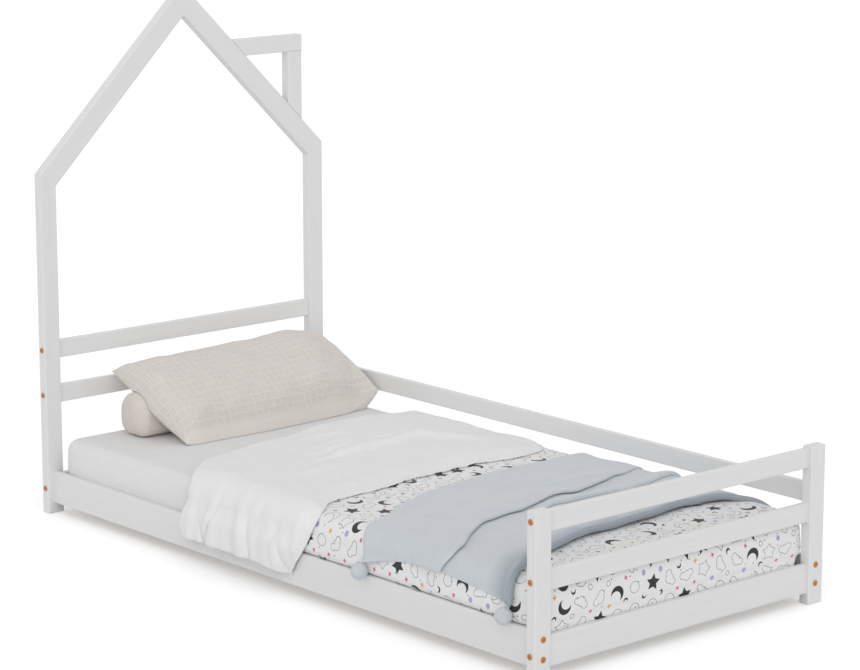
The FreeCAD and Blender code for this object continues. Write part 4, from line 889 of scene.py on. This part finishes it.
class HOUSEBED_OT_duvet(bpy.types.Operator):
    """Make the duvet: tucked inside the rails and the footboard, and folded back with one side hanging out"""
    bl_idname = "house_bed.duvet"
    bl_label = "Make the duvet"

    def execute(self, context):
        sizes = context.scene.house_bed_sizes
        colours = context.scene.house_bed_colours
        printed = printed_percale("printed_percale", colours.duvet, sizes.print_cell)
        plain = woven("white_percale", colours.duvet, 0.0011, 0.12, slub=0.02)[0]
        for piece in (self.cover(sizes, printed), self.turned_back(sizes, plain, printed)):
            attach(piece, "duvet")
        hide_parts("duvet")
        return {"FINISHED"}

    def cover(self, sizes, printed):
        """The part on the mattress: rows from the tucked hem up and over to the bed's middle line.

        Columns run down the left side, round the foot and up the right side. A row is that outline moved
        inwards; at the corners its radius shrinks to nothing.
        """
        half_top = sizes.duvet_loft / 2
        middle_top = DUVET_UNDER + half_top
        bend = sizes.duvet_shoulder - half_top
        rim = (DUVET_RIM, middle_top, 0)
        side = rounded_path((*DUVET_HEM, (-DUVET_BULGE, middle_top, bend), rim), PROFILE_STEPS)
        foot = rounded_path((DUVET_HEM[0], (0, middle_top, bend), rim), PROFILE_STEPS)
        inner = np.linspace(DUVET_RIM, DUVET_SIDE, 38)[1:]
        level = np.full(len(inner), middle_top)
        side = np.concatenate([side, np.stack([inner, level], -1)])
        foot = np.concatenate([foot, np.stack([inner, level], -1)])
        corner = np.linspace(0, 1, 11)
        run = np.linspace(0, 1, 130)
        # Along the outline: which stretch a column is in, and how much of the foot's profile it takes.
        stretch = np.concatenate([run[:-1], 1 + corner[:-1], 2 + np.linspace(0, 1, 86)[:-1], 3 + corner[:-1],
                                  4 + run])
        weight = smooth(np.minimum(stretch - 1, 4 - stretch), 0, 1)[None, :, None]
        profile = side[:, None, :] * (1 - weight) + foot[:, None, :] * weight
        inset, height = profile[..., 0], profile[..., 1]
        # The plan of each stretch: straight sides, and quarter circles of the corner's remaining radius.
        hold = np.maximum(DUVET_CORNER, inset)
        radius = np.maximum(DUVET_CORNER - inset, 0)
        reach_x, end_y = DUVET_SIDE - hold, -(DUVET_FOOT - hold)
        arc = np.concatenate([[0], np.cumsum(np.hypot(*np.diff(side, axis=0).T))])[:, None]
        extra = np.maximum(arc[PROFILE_STEPS - 1] - arc, 0) - np.maximum(DUVET_RIM - inset, 0)
        extra = np.where(inset < DUVET_RIM, extra, 0)
        out = DUVET_SIDE - inset + extra
        fold_left = through(FOLD_LINE, -out) - 0.012
        fold_right = through(FOLD_LINE, np.minimum(out, 0.44)) - 0.012
        left = np.stack([-(reach_x + radius), fold_left + (end_y - fold_left) * stretch], -1)
        turn = (stretch - 1) * QUARTER
        left_corner = np.stack([-(reach_x + radius * np.cos(turn)), end_y - radius * np.sin(turn)], -1)
        bottom = np.stack([reach_x * (2 * (stretch - 2) - 1), end_y - radius], -1)
        turn = (stretch - 3) * QUARTER
        right_corner = np.stack([reach_x + radius * np.sin(turn), end_y - radius * np.cos(turn)], -1)
        right = np.stack([reach_x + radius, end_y + (fold_right - end_y) * (stretch - 4)], -1)
        part = np.broadcast_to(stretch[:, None], (len(stretch), 2))
        plan = np.select([part < 1, part < 2, part < 3, part < 4], [left, left_corner, bottom, right_corner],
                         right)
        x, y = plan[..., 0], plan[..., 1]
        # Squeezed thin where it is tucked in, full above the rails, and closed round its hem and its fold.
        wall = smooth(height, RAIL_TOP, RAIL_TOP + 0.018)
        tucked = TUCKED_SIDE + (TUCKED_FOOT - TUCKED_SIDE) * weight[..., 0]
        half = tucked + (half_top - tucked) * wall
        lift = duvet_puff(x, y) * smooth(height, middle_top - 0.04, middle_top)
        middle = stack(x, y, height + lift / 2)
        half = half + lift / 2
        from_fold = np.where(stretch < 2.5, fold_left, fold_right) - y
        half = half * rim_round(arc, 0.008) * rim_round(from_fold, 0.012)
        # Flat places, which run on round each corner from the stretch beside it.
        along_left = np.where(stretch <= 1, y, end_y - radius * (stretch - 1) * QUARTER)
        along_right = np.where(stretch >= 4, y, end_y - radius * (4 - stretch) * QUARTER)
        along_foot = np.select([stretch < 2, stretch > 3],
                               [-reach_x - radius * (2 - stretch) * QUARTER,
                                reach_x + radius * (stretch - 3) * QUARTER], x)
        first, last = len(run) - 1 + len(corner) // 2, len(stretch) - len(run) - len(corner) // 2
        flat = [(slice(0, first + 1), stack(-out, along_left)),
                (slice(first, last + 1), stack(along_foot, -(DUVET_FOOT - inset + extra))),
                (slice(last, None), stack(out, along_right))]
        return pad("duvet_cover", middle, half, flat, [printed], facing=normals(stack(x, y, height)))

    def turned_back(self, sizes, plain, printed):
        """The part that is folded back: white side up, from the right shoulder to the hanging left side."""
        across = (TURNED_LEFT + (TURNED_RIGHT - TURNED_LEFT) * rimmed(170, 0.008))[None, :]
        share = rimmed(90, 0.018)[:, None]
        fold, hem = through(FOLD_LINE, across), through(HEM_LINE, across)
        along = fold + (hem - fold) * share
        from_fold = fold - along
        # It thins out towards its hem, its right side and the corner that hangs lowest.
        half_plain = sizes.turned_loft / 2 * (0.45 + 0.55 * smooth(along - hem, 0, 0.06))
        half_plain = half_plain * (1 - 0.55 * smooth(across, 0.24, 0.43))
        half_plain = half_plain * (1 - 0.35 * smooth(-across, 0.38, 0.43) * smooth(along - hem, 0.04, 0))
        # Near the fold it is as thick as both layers, so that it takes the cover's own edge in.
        swallow = smooth(from_fold, 0.075, 0.02) * smooth(across, -0.45, -0.38)
        half_full = half_plain + swallow * sizes.duvet_loft / 2 * (1 - 0.7 * smooth(across, 0.24, 0.42))
        height = half_plain * (1 - swallow) + 0.0004
        lower = across - 0.011 * smooth(across, -0.50, TURNED_LEFT) * smooth(along, 0.02, -0.10)
        middle, drop = over_duvet(lower, along, height, sizes)
        # The hanging part stands clear of the side rail, and falls in folds.
        outward = smooth(drop, 0, 0.05) * 0.0135 + smooth(-across, 0.42, 0.50) * 0.004
        outward = outward * (0.35 + 0.65 * smooth(along - hem, 0, 0.07))
        folds = creases(across, along, PANEL_FOLDS) + 0.0026 * ripple(along, across * 0.25, 0.075, 61)
        grow = smooth(-across, 0.42, 0.51)
        middle[..., 0] -= (outward + folds * grow) * (across < 0)
        wrinkles = creases(across, along, TOP_CREASES) + 0.0006 * (1 + ripple(across, along, 0.05, 62))
        middle[..., 2] += wrinkles * smooth(-abs(across), -0.46, -0.40)
        border = np.minimum(from_fold, along - hem)
        side = np.minimum(across - TURNED_LEFT, TURNED_RIGHT - across)
        half = half_full * rim_round(border, half_full) * rim_round(side, half_plain)
        flat = stack(across, along)
        return pad("duvet_turned_back", middle[::-1], half[::-1], flat[::-1], [plain, printed], under=1)


# The throw's edges and folds, each as (distance across, place along): its head and foot edges, the front of
# its pleat and the step before it. THROW_LOWER is its left edge's height, by the place along.
THROW_HEAD = ((-0.60, -0.378), (-0.50, -0.374), (-0.44, -0.350), (-0.368, -0.322), (-0.25, -0.263),
              (-0.12, -0.209), (0.016, -0.195), (0.213, -0.175), (0.356, -0.188), (0.43, -0.200),
              (0.52, -0.230))
THROW_FOOT = ((-0.60, -0.889), (-0.50, -0.905), (-0.44, -0.885), (-0.3815, -0.846), (-0.261, -0.806),
              (-0.092, -0.769), (0.068, -0.765), (0.246, -0.749), (0.395, -0.772), (0.43, -0.806),
              (0.46, -0.845), (0.52, -0.890))
THROW_PLEAT = ((-0.60, -0.630), (-0.52, -0.645), (-0.47, -0.664), (-0.43, -0.646), (-0.357, -0.595),
               (-0.266, -0.538), (-0.177, -0.511), (-0.05, -0.485), (0.07, -0.463), (0.225, -0.447),
               (0.32, -0.425), (0.44, -0.398), (0.52, -0.393))
THROW_STEP = ((-0.60, -0.80), (-0.30, -0.72), (-0.10, -0.590), (-0.03, -0.528), (0.07, -0.520),
              (0.18, -0.5175), (0.28, -0.526), (0.37, -0.527), (0.52, -0.535))
THROW_LOWER = ((-0.91, 0.164), (-0.803, 0.174), (-0.67, 0.184), (-0.577, 0.186), (-0.45, 0.170),
               (-0.37, 0.152))
THROW_CREASES = ((-0.38, -0.40, -0.05, -0.30, 0.03, 0.004), (-0.30, -0.50, 0.10, -0.40, 0.025, 0.003),
                 (-0.36, -0.66, 0.02, -0.60, 0.022, 0.004), (-0.30, -0.74, 0.20, -0.68, 0.02, 0.003),
                 (-0.02, -0.375, 0.39, -0.428, 0.009, 0.0065), (0.10, -0.33, 0.40, -0.26, 0.03, 0.003))
THROW_FAR = 0.510  # its right edge, measured round the duvet's outside
PLEAT_BACK = 0.035  # how far the cloth doubles back
PLEAT_LANDING = 0.135  # from the pleat's front to where the cloth lies flat again
STEP_RUN = 0.002
POM_X = -0.493
POM_PLACES = ((-0.3735, 0.132), (-0.889, 0.139))
POM_TUFTS = 420


def pleated(foot, step, rise, front, head, gap):
    """A cloth's run along the bed and its height: a step up, then one pleat where it doubles back on itself.

    From the foot it runs flat to the step, rises there and sinks again on its way to the pleat's back, turns
    over round a half circle, returns to the pleat's front, turns over again and comes down towards the head.
    """
    share = np.linspace(0, 1, 40)[:, None]
    few = np.linspace(0, 1, 7)[1:, None]
    turn = np.linspace(-QUARTER, QUARTER, 7)[1:-1, None]
    back, landing, stepped = front + PLEAT_BACK, front + PLEAT_LANDING, step + STEP_RUN
    along = [foot + (step - foot) * share, step + STEP_RUN * few, stepped + (back - stepped) * share[1:],
             back + gap / 2 * np.cos(turn), back - PLEAT_BACK * share[::3], front - gap / 2 * np.cos(turn),
             front + (landing - front) * share, landing + (head - landing) * share[1:]]
    height = [0, rise * smooth(few, 0, 1), rise * (1 - smooth(share[1:], 0.05, 0.5)),
              gap / 2 * (1 + np.sin(turn)), gap, gap * 1.5 + gap / 2 * np.sin(turn),
              2 * gap * (1 - smooth(share, 0.25, 1)), 0]
    return (np.concatenate(along),
            np.concatenate([np.broadcast_to(level, run.shape) for level, run in zip(height, along)]))


def throw_cloth(sizes):
    """The throw's middle surface, half its thickness and its flat places, in rows from its foot to its head.

    Each column is a strip that runs along the bed at one distance across, pleated, and laid over the duvet.
    """
    layer = sizes.throw_layer
    columns = rimmed(150, 0.002)[None, :]
    reach = DUVET_SIDE + DUVET_BULGE + sizes.duvet_loft / 2 - sizes.duvet_shoulder
    round_end = reach + sizes.duvet_shoulder * QUARTER
    wall_top = DUVET_UNDER + sizes.duvet_loft - sizes.duvet_shoulder
    across = THROW_FAR - (THROW_FAR + round_end + 0.02) * columns
    head, foot = through(THROW_HEAD, across), through(THROW_FOOT, across)
    # Each column's run along the bed: the step fades out to the left and the pleat closes to the right.
    rise = 3 * layer * smooth(across, -0.08, 0.02)
    gap = layer * (1.7 - 1.1 * smooth(across, 0.26, 0.46))
    along, height = pleated(foot, through(THROW_STEP, across), rise, through(THROW_PLEAT, across), head, gap)
    # The left edge is given by its height, which sets how far round the duvet each row reaches.
    hem = round_end + wall_top - through(THROW_LOWER, np.clip(along, -0.91, -0.37))
    spread = THROW_FAR - (THROW_FAR + hem) * columns
    run = np.concatenate([np.zeros_like(foot), np.cumsum(np.abs(np.diff(along, axis=0)), axis=0)])
    # Its foot and head edges are rolled, its right side puffs up, and the rest is soft.
    rolled = 0.012 * np.exp(-(run / 0.030) ** 2) * smooth(spread, 0.44, 0.34)
    rolled = rolled + 0.004 * np.exp(-((run[-1:] - run) / 0.03) ** 2)
    hills = 0.002 * np.exp(-((along + 0.69) / 0.05) ** 2) + 0.003 * np.exp(-((along + 0.52) / 0.07) ** 2)
    puffed = (0.007 + hills) * np.exp(-((spread - 0.430) / 0.060) ** 2)
    puffed = puffed * smooth(along, -0.82, -0.73)
    soft = 0.0015 * (1 + ripple(spread, along, 0.13, 72)) + creases(spread, along, THROW_CREASES)
    middle, drop = over_duvet(spread, along, layer / 2 + 0.0005 + height + rolled + puffed, sizes)
    middle[..., 2] += soft * smooth(abs(spread), 0.46, 0.38)
    # The hanging side stands off the duvet's.
    flare = smooth(drop, -0.001, 0.028) * (0.013 + 0.003 * ripple(along, 0, 0.10, 71))
    middle[..., 0] -= flare * (spread < 0)
    border = np.minimum(np.minimum(run, run[-1:] - run), np.minimum(columns, 1 - columns) * (THROW_FAR + hem))
    thick = layer / 2 * (1 - 0.35 * smooth(spread, 0.34, 0.46)) + 0.0080 * np.exp(-(run / 0.022) ** 2)
    return middle, thick * rim_round(border, thick), stack(spread, run)


class HOUSEBED_OT_throw(bpy.types.Operator):
    """Make the throw: one knitted sheet over the duvet, pleated over on itself twice"""
    bl_idname = "house_bed.throw"
    bl_label = "Make the throw"

    def execute(self, context):
        middle, half, flat = throw_cloth(context.scene.house_bed_sizes)
        knit = brushed_knit("brushed_cotton_knit", context.scene.house_bed_colours.throw)
        piece = pad("throw_knit", middle[::-1], half[::-1], flat[::-1], [knit])
        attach(piece, "throw")
        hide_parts("throw_blanket")
        return {"FINISHED"}


class HOUSEBED_OT_pom_poms(bpy.types.Operator):
    """Make the pom-poms: balls of cut yarn on a short thread at the throw's left corners"""
    bl_idname = "house_bed.pom_poms"
    bl_label = "Make the pom-poms"

    def execute(self, context):
        sizes = context.scene.house_bed_sizes
        colour_of_throw = context.scene.house_bed_colours.throw
        yarn = woven("pom_pom_yarn", colour_of_throw, 0.0018, 0.6, slub=0.08, flat=False)[0]
        radius = sizes.pom_diameter / 2
        middle = throw_cloth(sizes)[0]
        polar = np.linspace(0, math.pi, 150)[:, None]
        turn = np.linspace(0, 2 * math.pi, 301)[None, :]
        way = stack(np.sin(polar) * np.cos(turn), np.sin(polar) * np.sin(turn), np.cos(polar))
        step = np.arange(POM_TUFTS) + 0.5
        tilt = np.arccos(1 - 2 * step / POM_TUFTS)
        spin = math.pi * (1 + 5 ** 0.5) * step
        tips = stack(np.sin(tilt) * np.cos(spin), np.sin(tilt) * np.sin(spin), np.cos(tilt))
        angle = np.arccos(np.clip((way.reshape(-1, 3) @ tips.T).max(1).reshape(way.shape[:2]), -1, 1))
        tuft = np.cos(np.clip(angle / 0.115, 0, 1) * QUARTER)
        grids = []
        for seed, (y, z), knot in zip((81, 82), POM_PLACES, (middle[-1, -1], middle[0, -1])):
            loose = ripple(way[..., 0] + way[..., 2] * 0.7, way[..., 1], 0.5, seed)
            size = radius * (0.925 + 0.055 * tuft + 0.02 * loose)
            centre = np.array([POM_X, y, z])
            grids.append((centre + way * size[..., None], way[..., :2] * radius, 0))
            grids.append(thread_between(centre, knot, 0.0011))
        piece = surface("throw_pom_poms", grids, [yarn])
        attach(piece, "throw")
        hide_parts("pom_poms")
        return {"FINISHED"}


def thread_between(start, end, radius):
    """A thread from one point to another: a circle carried along a straight line, closed at its ends."""
    along = np.array([0, 0, 0.25, 0.5, 0.75, 1, 1])[:, None, None]
    size = np.array([0, 1, 1, 1, 1, 1, 0])[:, None, None] * radius
    turn = np.linspace(0, 2 * math.pi, 13)[None, :, None]
    way = (end - start) / np.linalg.norm(end - start)
    side = np.cross(way, [0, 1, 0])
    side = side / np.linalg.norm(side)
    other = np.cross(way, side)
    points = start + (end - start) * along + size * (side * np.cos(turn) + other * np.sin(turn))
    return points, points[..., 1:], 0


FLOOR_GLOW = 0.36  # added to the floor where it is seen, never to the light on the bed
SKY_LIGHT = 0.73
LAMP_STRENGTH = 1.05
LAMP_SPREAD = math.radians(70)
LAMP_TURN = (math.radians(70), 0, math.radians(-42))
CAMERA_LENS = 125.6  # millimetres, for a frame 36 mm wide
CAMERA_PLACE = (-4.9781, -5.7483, 2.1940)
CAMERA_TURN = (math.radians(78.0854), 0, math.radians(-41.2514))


def seen_directly(tree):
    """1 for a ray of the camera, a gloss or a clear piece, and 0 for the rays that light the bed."""
    ray = add_node(tree, "LightPath")
    seen = 0.0
    for kind in ("Is Camera Ray", "Is Glossy Ray", "Is Transmission Ray"):
        seen = add_node(tree, "Math", {0: seen, 1: ray.outputs[kind]}, operation="MAXIMUM")
    return seen


class HOUSEBED_OT_stage(bpy.types.Operator):
    """Set up the pale floor, the soft light and the camera"""
    bl_idname = "house_bed.stage"
    bl_label = "Set the stage"

    def execute(self, context):
        scene = context.scene
        scene.view_settings.view_transform = "Standard"
        self.floor()
        self.world(scene)
        self.lamps()
        self.camera(scene)
        return {"FINISHED"}

    def floor(self):
        """A level floor, pale to the eye, that keeps the bed's shadow."""
        reach = np.linspace(-60, 60, 3)
        points = stack(reach[None, :], reach[:, None], -0.0005)
        material, tree, bsdf = new_material("pale_floor", linear("#E8E8E8"), 0.9)
        glow = add_node(tree, "Math", {0: seen_directly(tree), 1: FLOOR_GLOW}, operation="MULTIPLY")
        fill(tree, bsdf, {"Emission Color": (1, 1, 1, 1), "Emission Strength": glow})
        piece = surface("floor", [(points, points[..., :2], 0)], [material])

    def world(self, scene):
        """Even soft light from all round, white where the camera or a gloss sees it."""
        world = bpy.data.worlds.new("studio")
        scene.world = world
        world.use_nodes = True
        tree = world.node_tree
        strength = add_node(tree, "MapRange", {"Value": seen_directly(tree), "To Min": SKY_LIGHT,
                                               "To Max": 1.0})
        fill(tree, tree.nodes["Background"], {"Color": (1, 1, 1, 1), "Strength": strength})

    def lamps(self):
        """One broad soft light from the left of the foot, low enough to light the upright faces too."""
        data = bpy.data.lights.new("broad_soft_light", "SUN")
        data.energy = LAMP_STRENGTH
        data.angle = LAMP_SPREAD
        lamp = bpy.data.objects.new("broad_soft_light", data)
        lamp.rotation_euler = LAMP_TURN
        bpy.context.scene.collection.objects.link(lamp)

    def camera(self, scene):
        """The camera at the photograph's place and angle."""
        data = bpy.data.cameras.new("camera")
        data.lens = CAMERA_LENS
        data.sensor_width = 36
        camera = bpy.data.objects.new("camera", data)
        camera.location = CAMERA_PLACE
        camera.rotation_euler = CAMERA_TURN
        scene.collection.objects.link(camera)
        scene.camera = camera


class HOUSEBED_PT_panel(bpy.types.Panel):
    """The bed's sizes and colours, and a button for each group of pieces"""
    bl_idname = "HOUSEBED_PT_panel"
    bl_label = "House Bed"
    bl_space_type = "VIEW_3D"
    bl_region_type = "UI"
    bl_category = "House Bed"

    def draw(self, context):
        for group in (context.scene.house_bed_sizes, context.scene.house_bed_colours):
            column = self.layout.column(align=True)
            for name in type(group).__annotations__:
                column.prop(group, name)
        column = self.layout.column(align=True)
        for operator in OPERATORS:
            column.operator(operator.bl_idname)


OPERATORS = (HOUSEBED_OT_frame, HOUSEBED_OT_mattress, HOUSEBED_OT_fitted_sheet, HOUSEBED_OT_bolster,
             HOUSEBED_OT_pillow, HOUSEBED_OT_duvet, HOUSEBED_OT_throw, HOUSEBED_OT_pom_poms,
             HOUSEBED_OT_stage)
CLASSES = (HouseBedSizes, HouseBedColours, *OPERATORS, HOUSEBED_PT_panel)


def register():
    """Register the classes and hang the properties on the scene."""
    for cls in CLASSES:
        bpy.utils.register_class(cls)
    bpy.types.Scene.house_bed_sizes = bpy.props.PointerProperty(type=HouseBedSizes)
    bpy.types.Scene.house_bed_colours = bpy.props.PointerProperty(type=HouseBedColours)


def unregister():
    """Take everything away again."""
    del bpy.types.Scene.house_bed_colours
    del bpy.types.Scene.house_bed_sizes
    for cls in reversed(CLASSES):
        bpy.utils.unregister_class(cls)


def main():
    """Build the whole bed."""
    register()
    bpy.ops.house_bed.frame()
    bpy.ops.house_bed.mattress()
    bpy.ops.house_bed.fitted_sheet()
    bpy.ops.house_bed.bolster()
    bpy.ops.house_bed.pillow()
    bpy.ops.house_bed.duvet()
    bpy.ops.house_bed.throw()
    bpy.ops.house_bed.pom_poms()
    bpy.ops.house_bed.stage()
    bpy.context.view_layer.update()


if __name__ == "__main__":
    main()
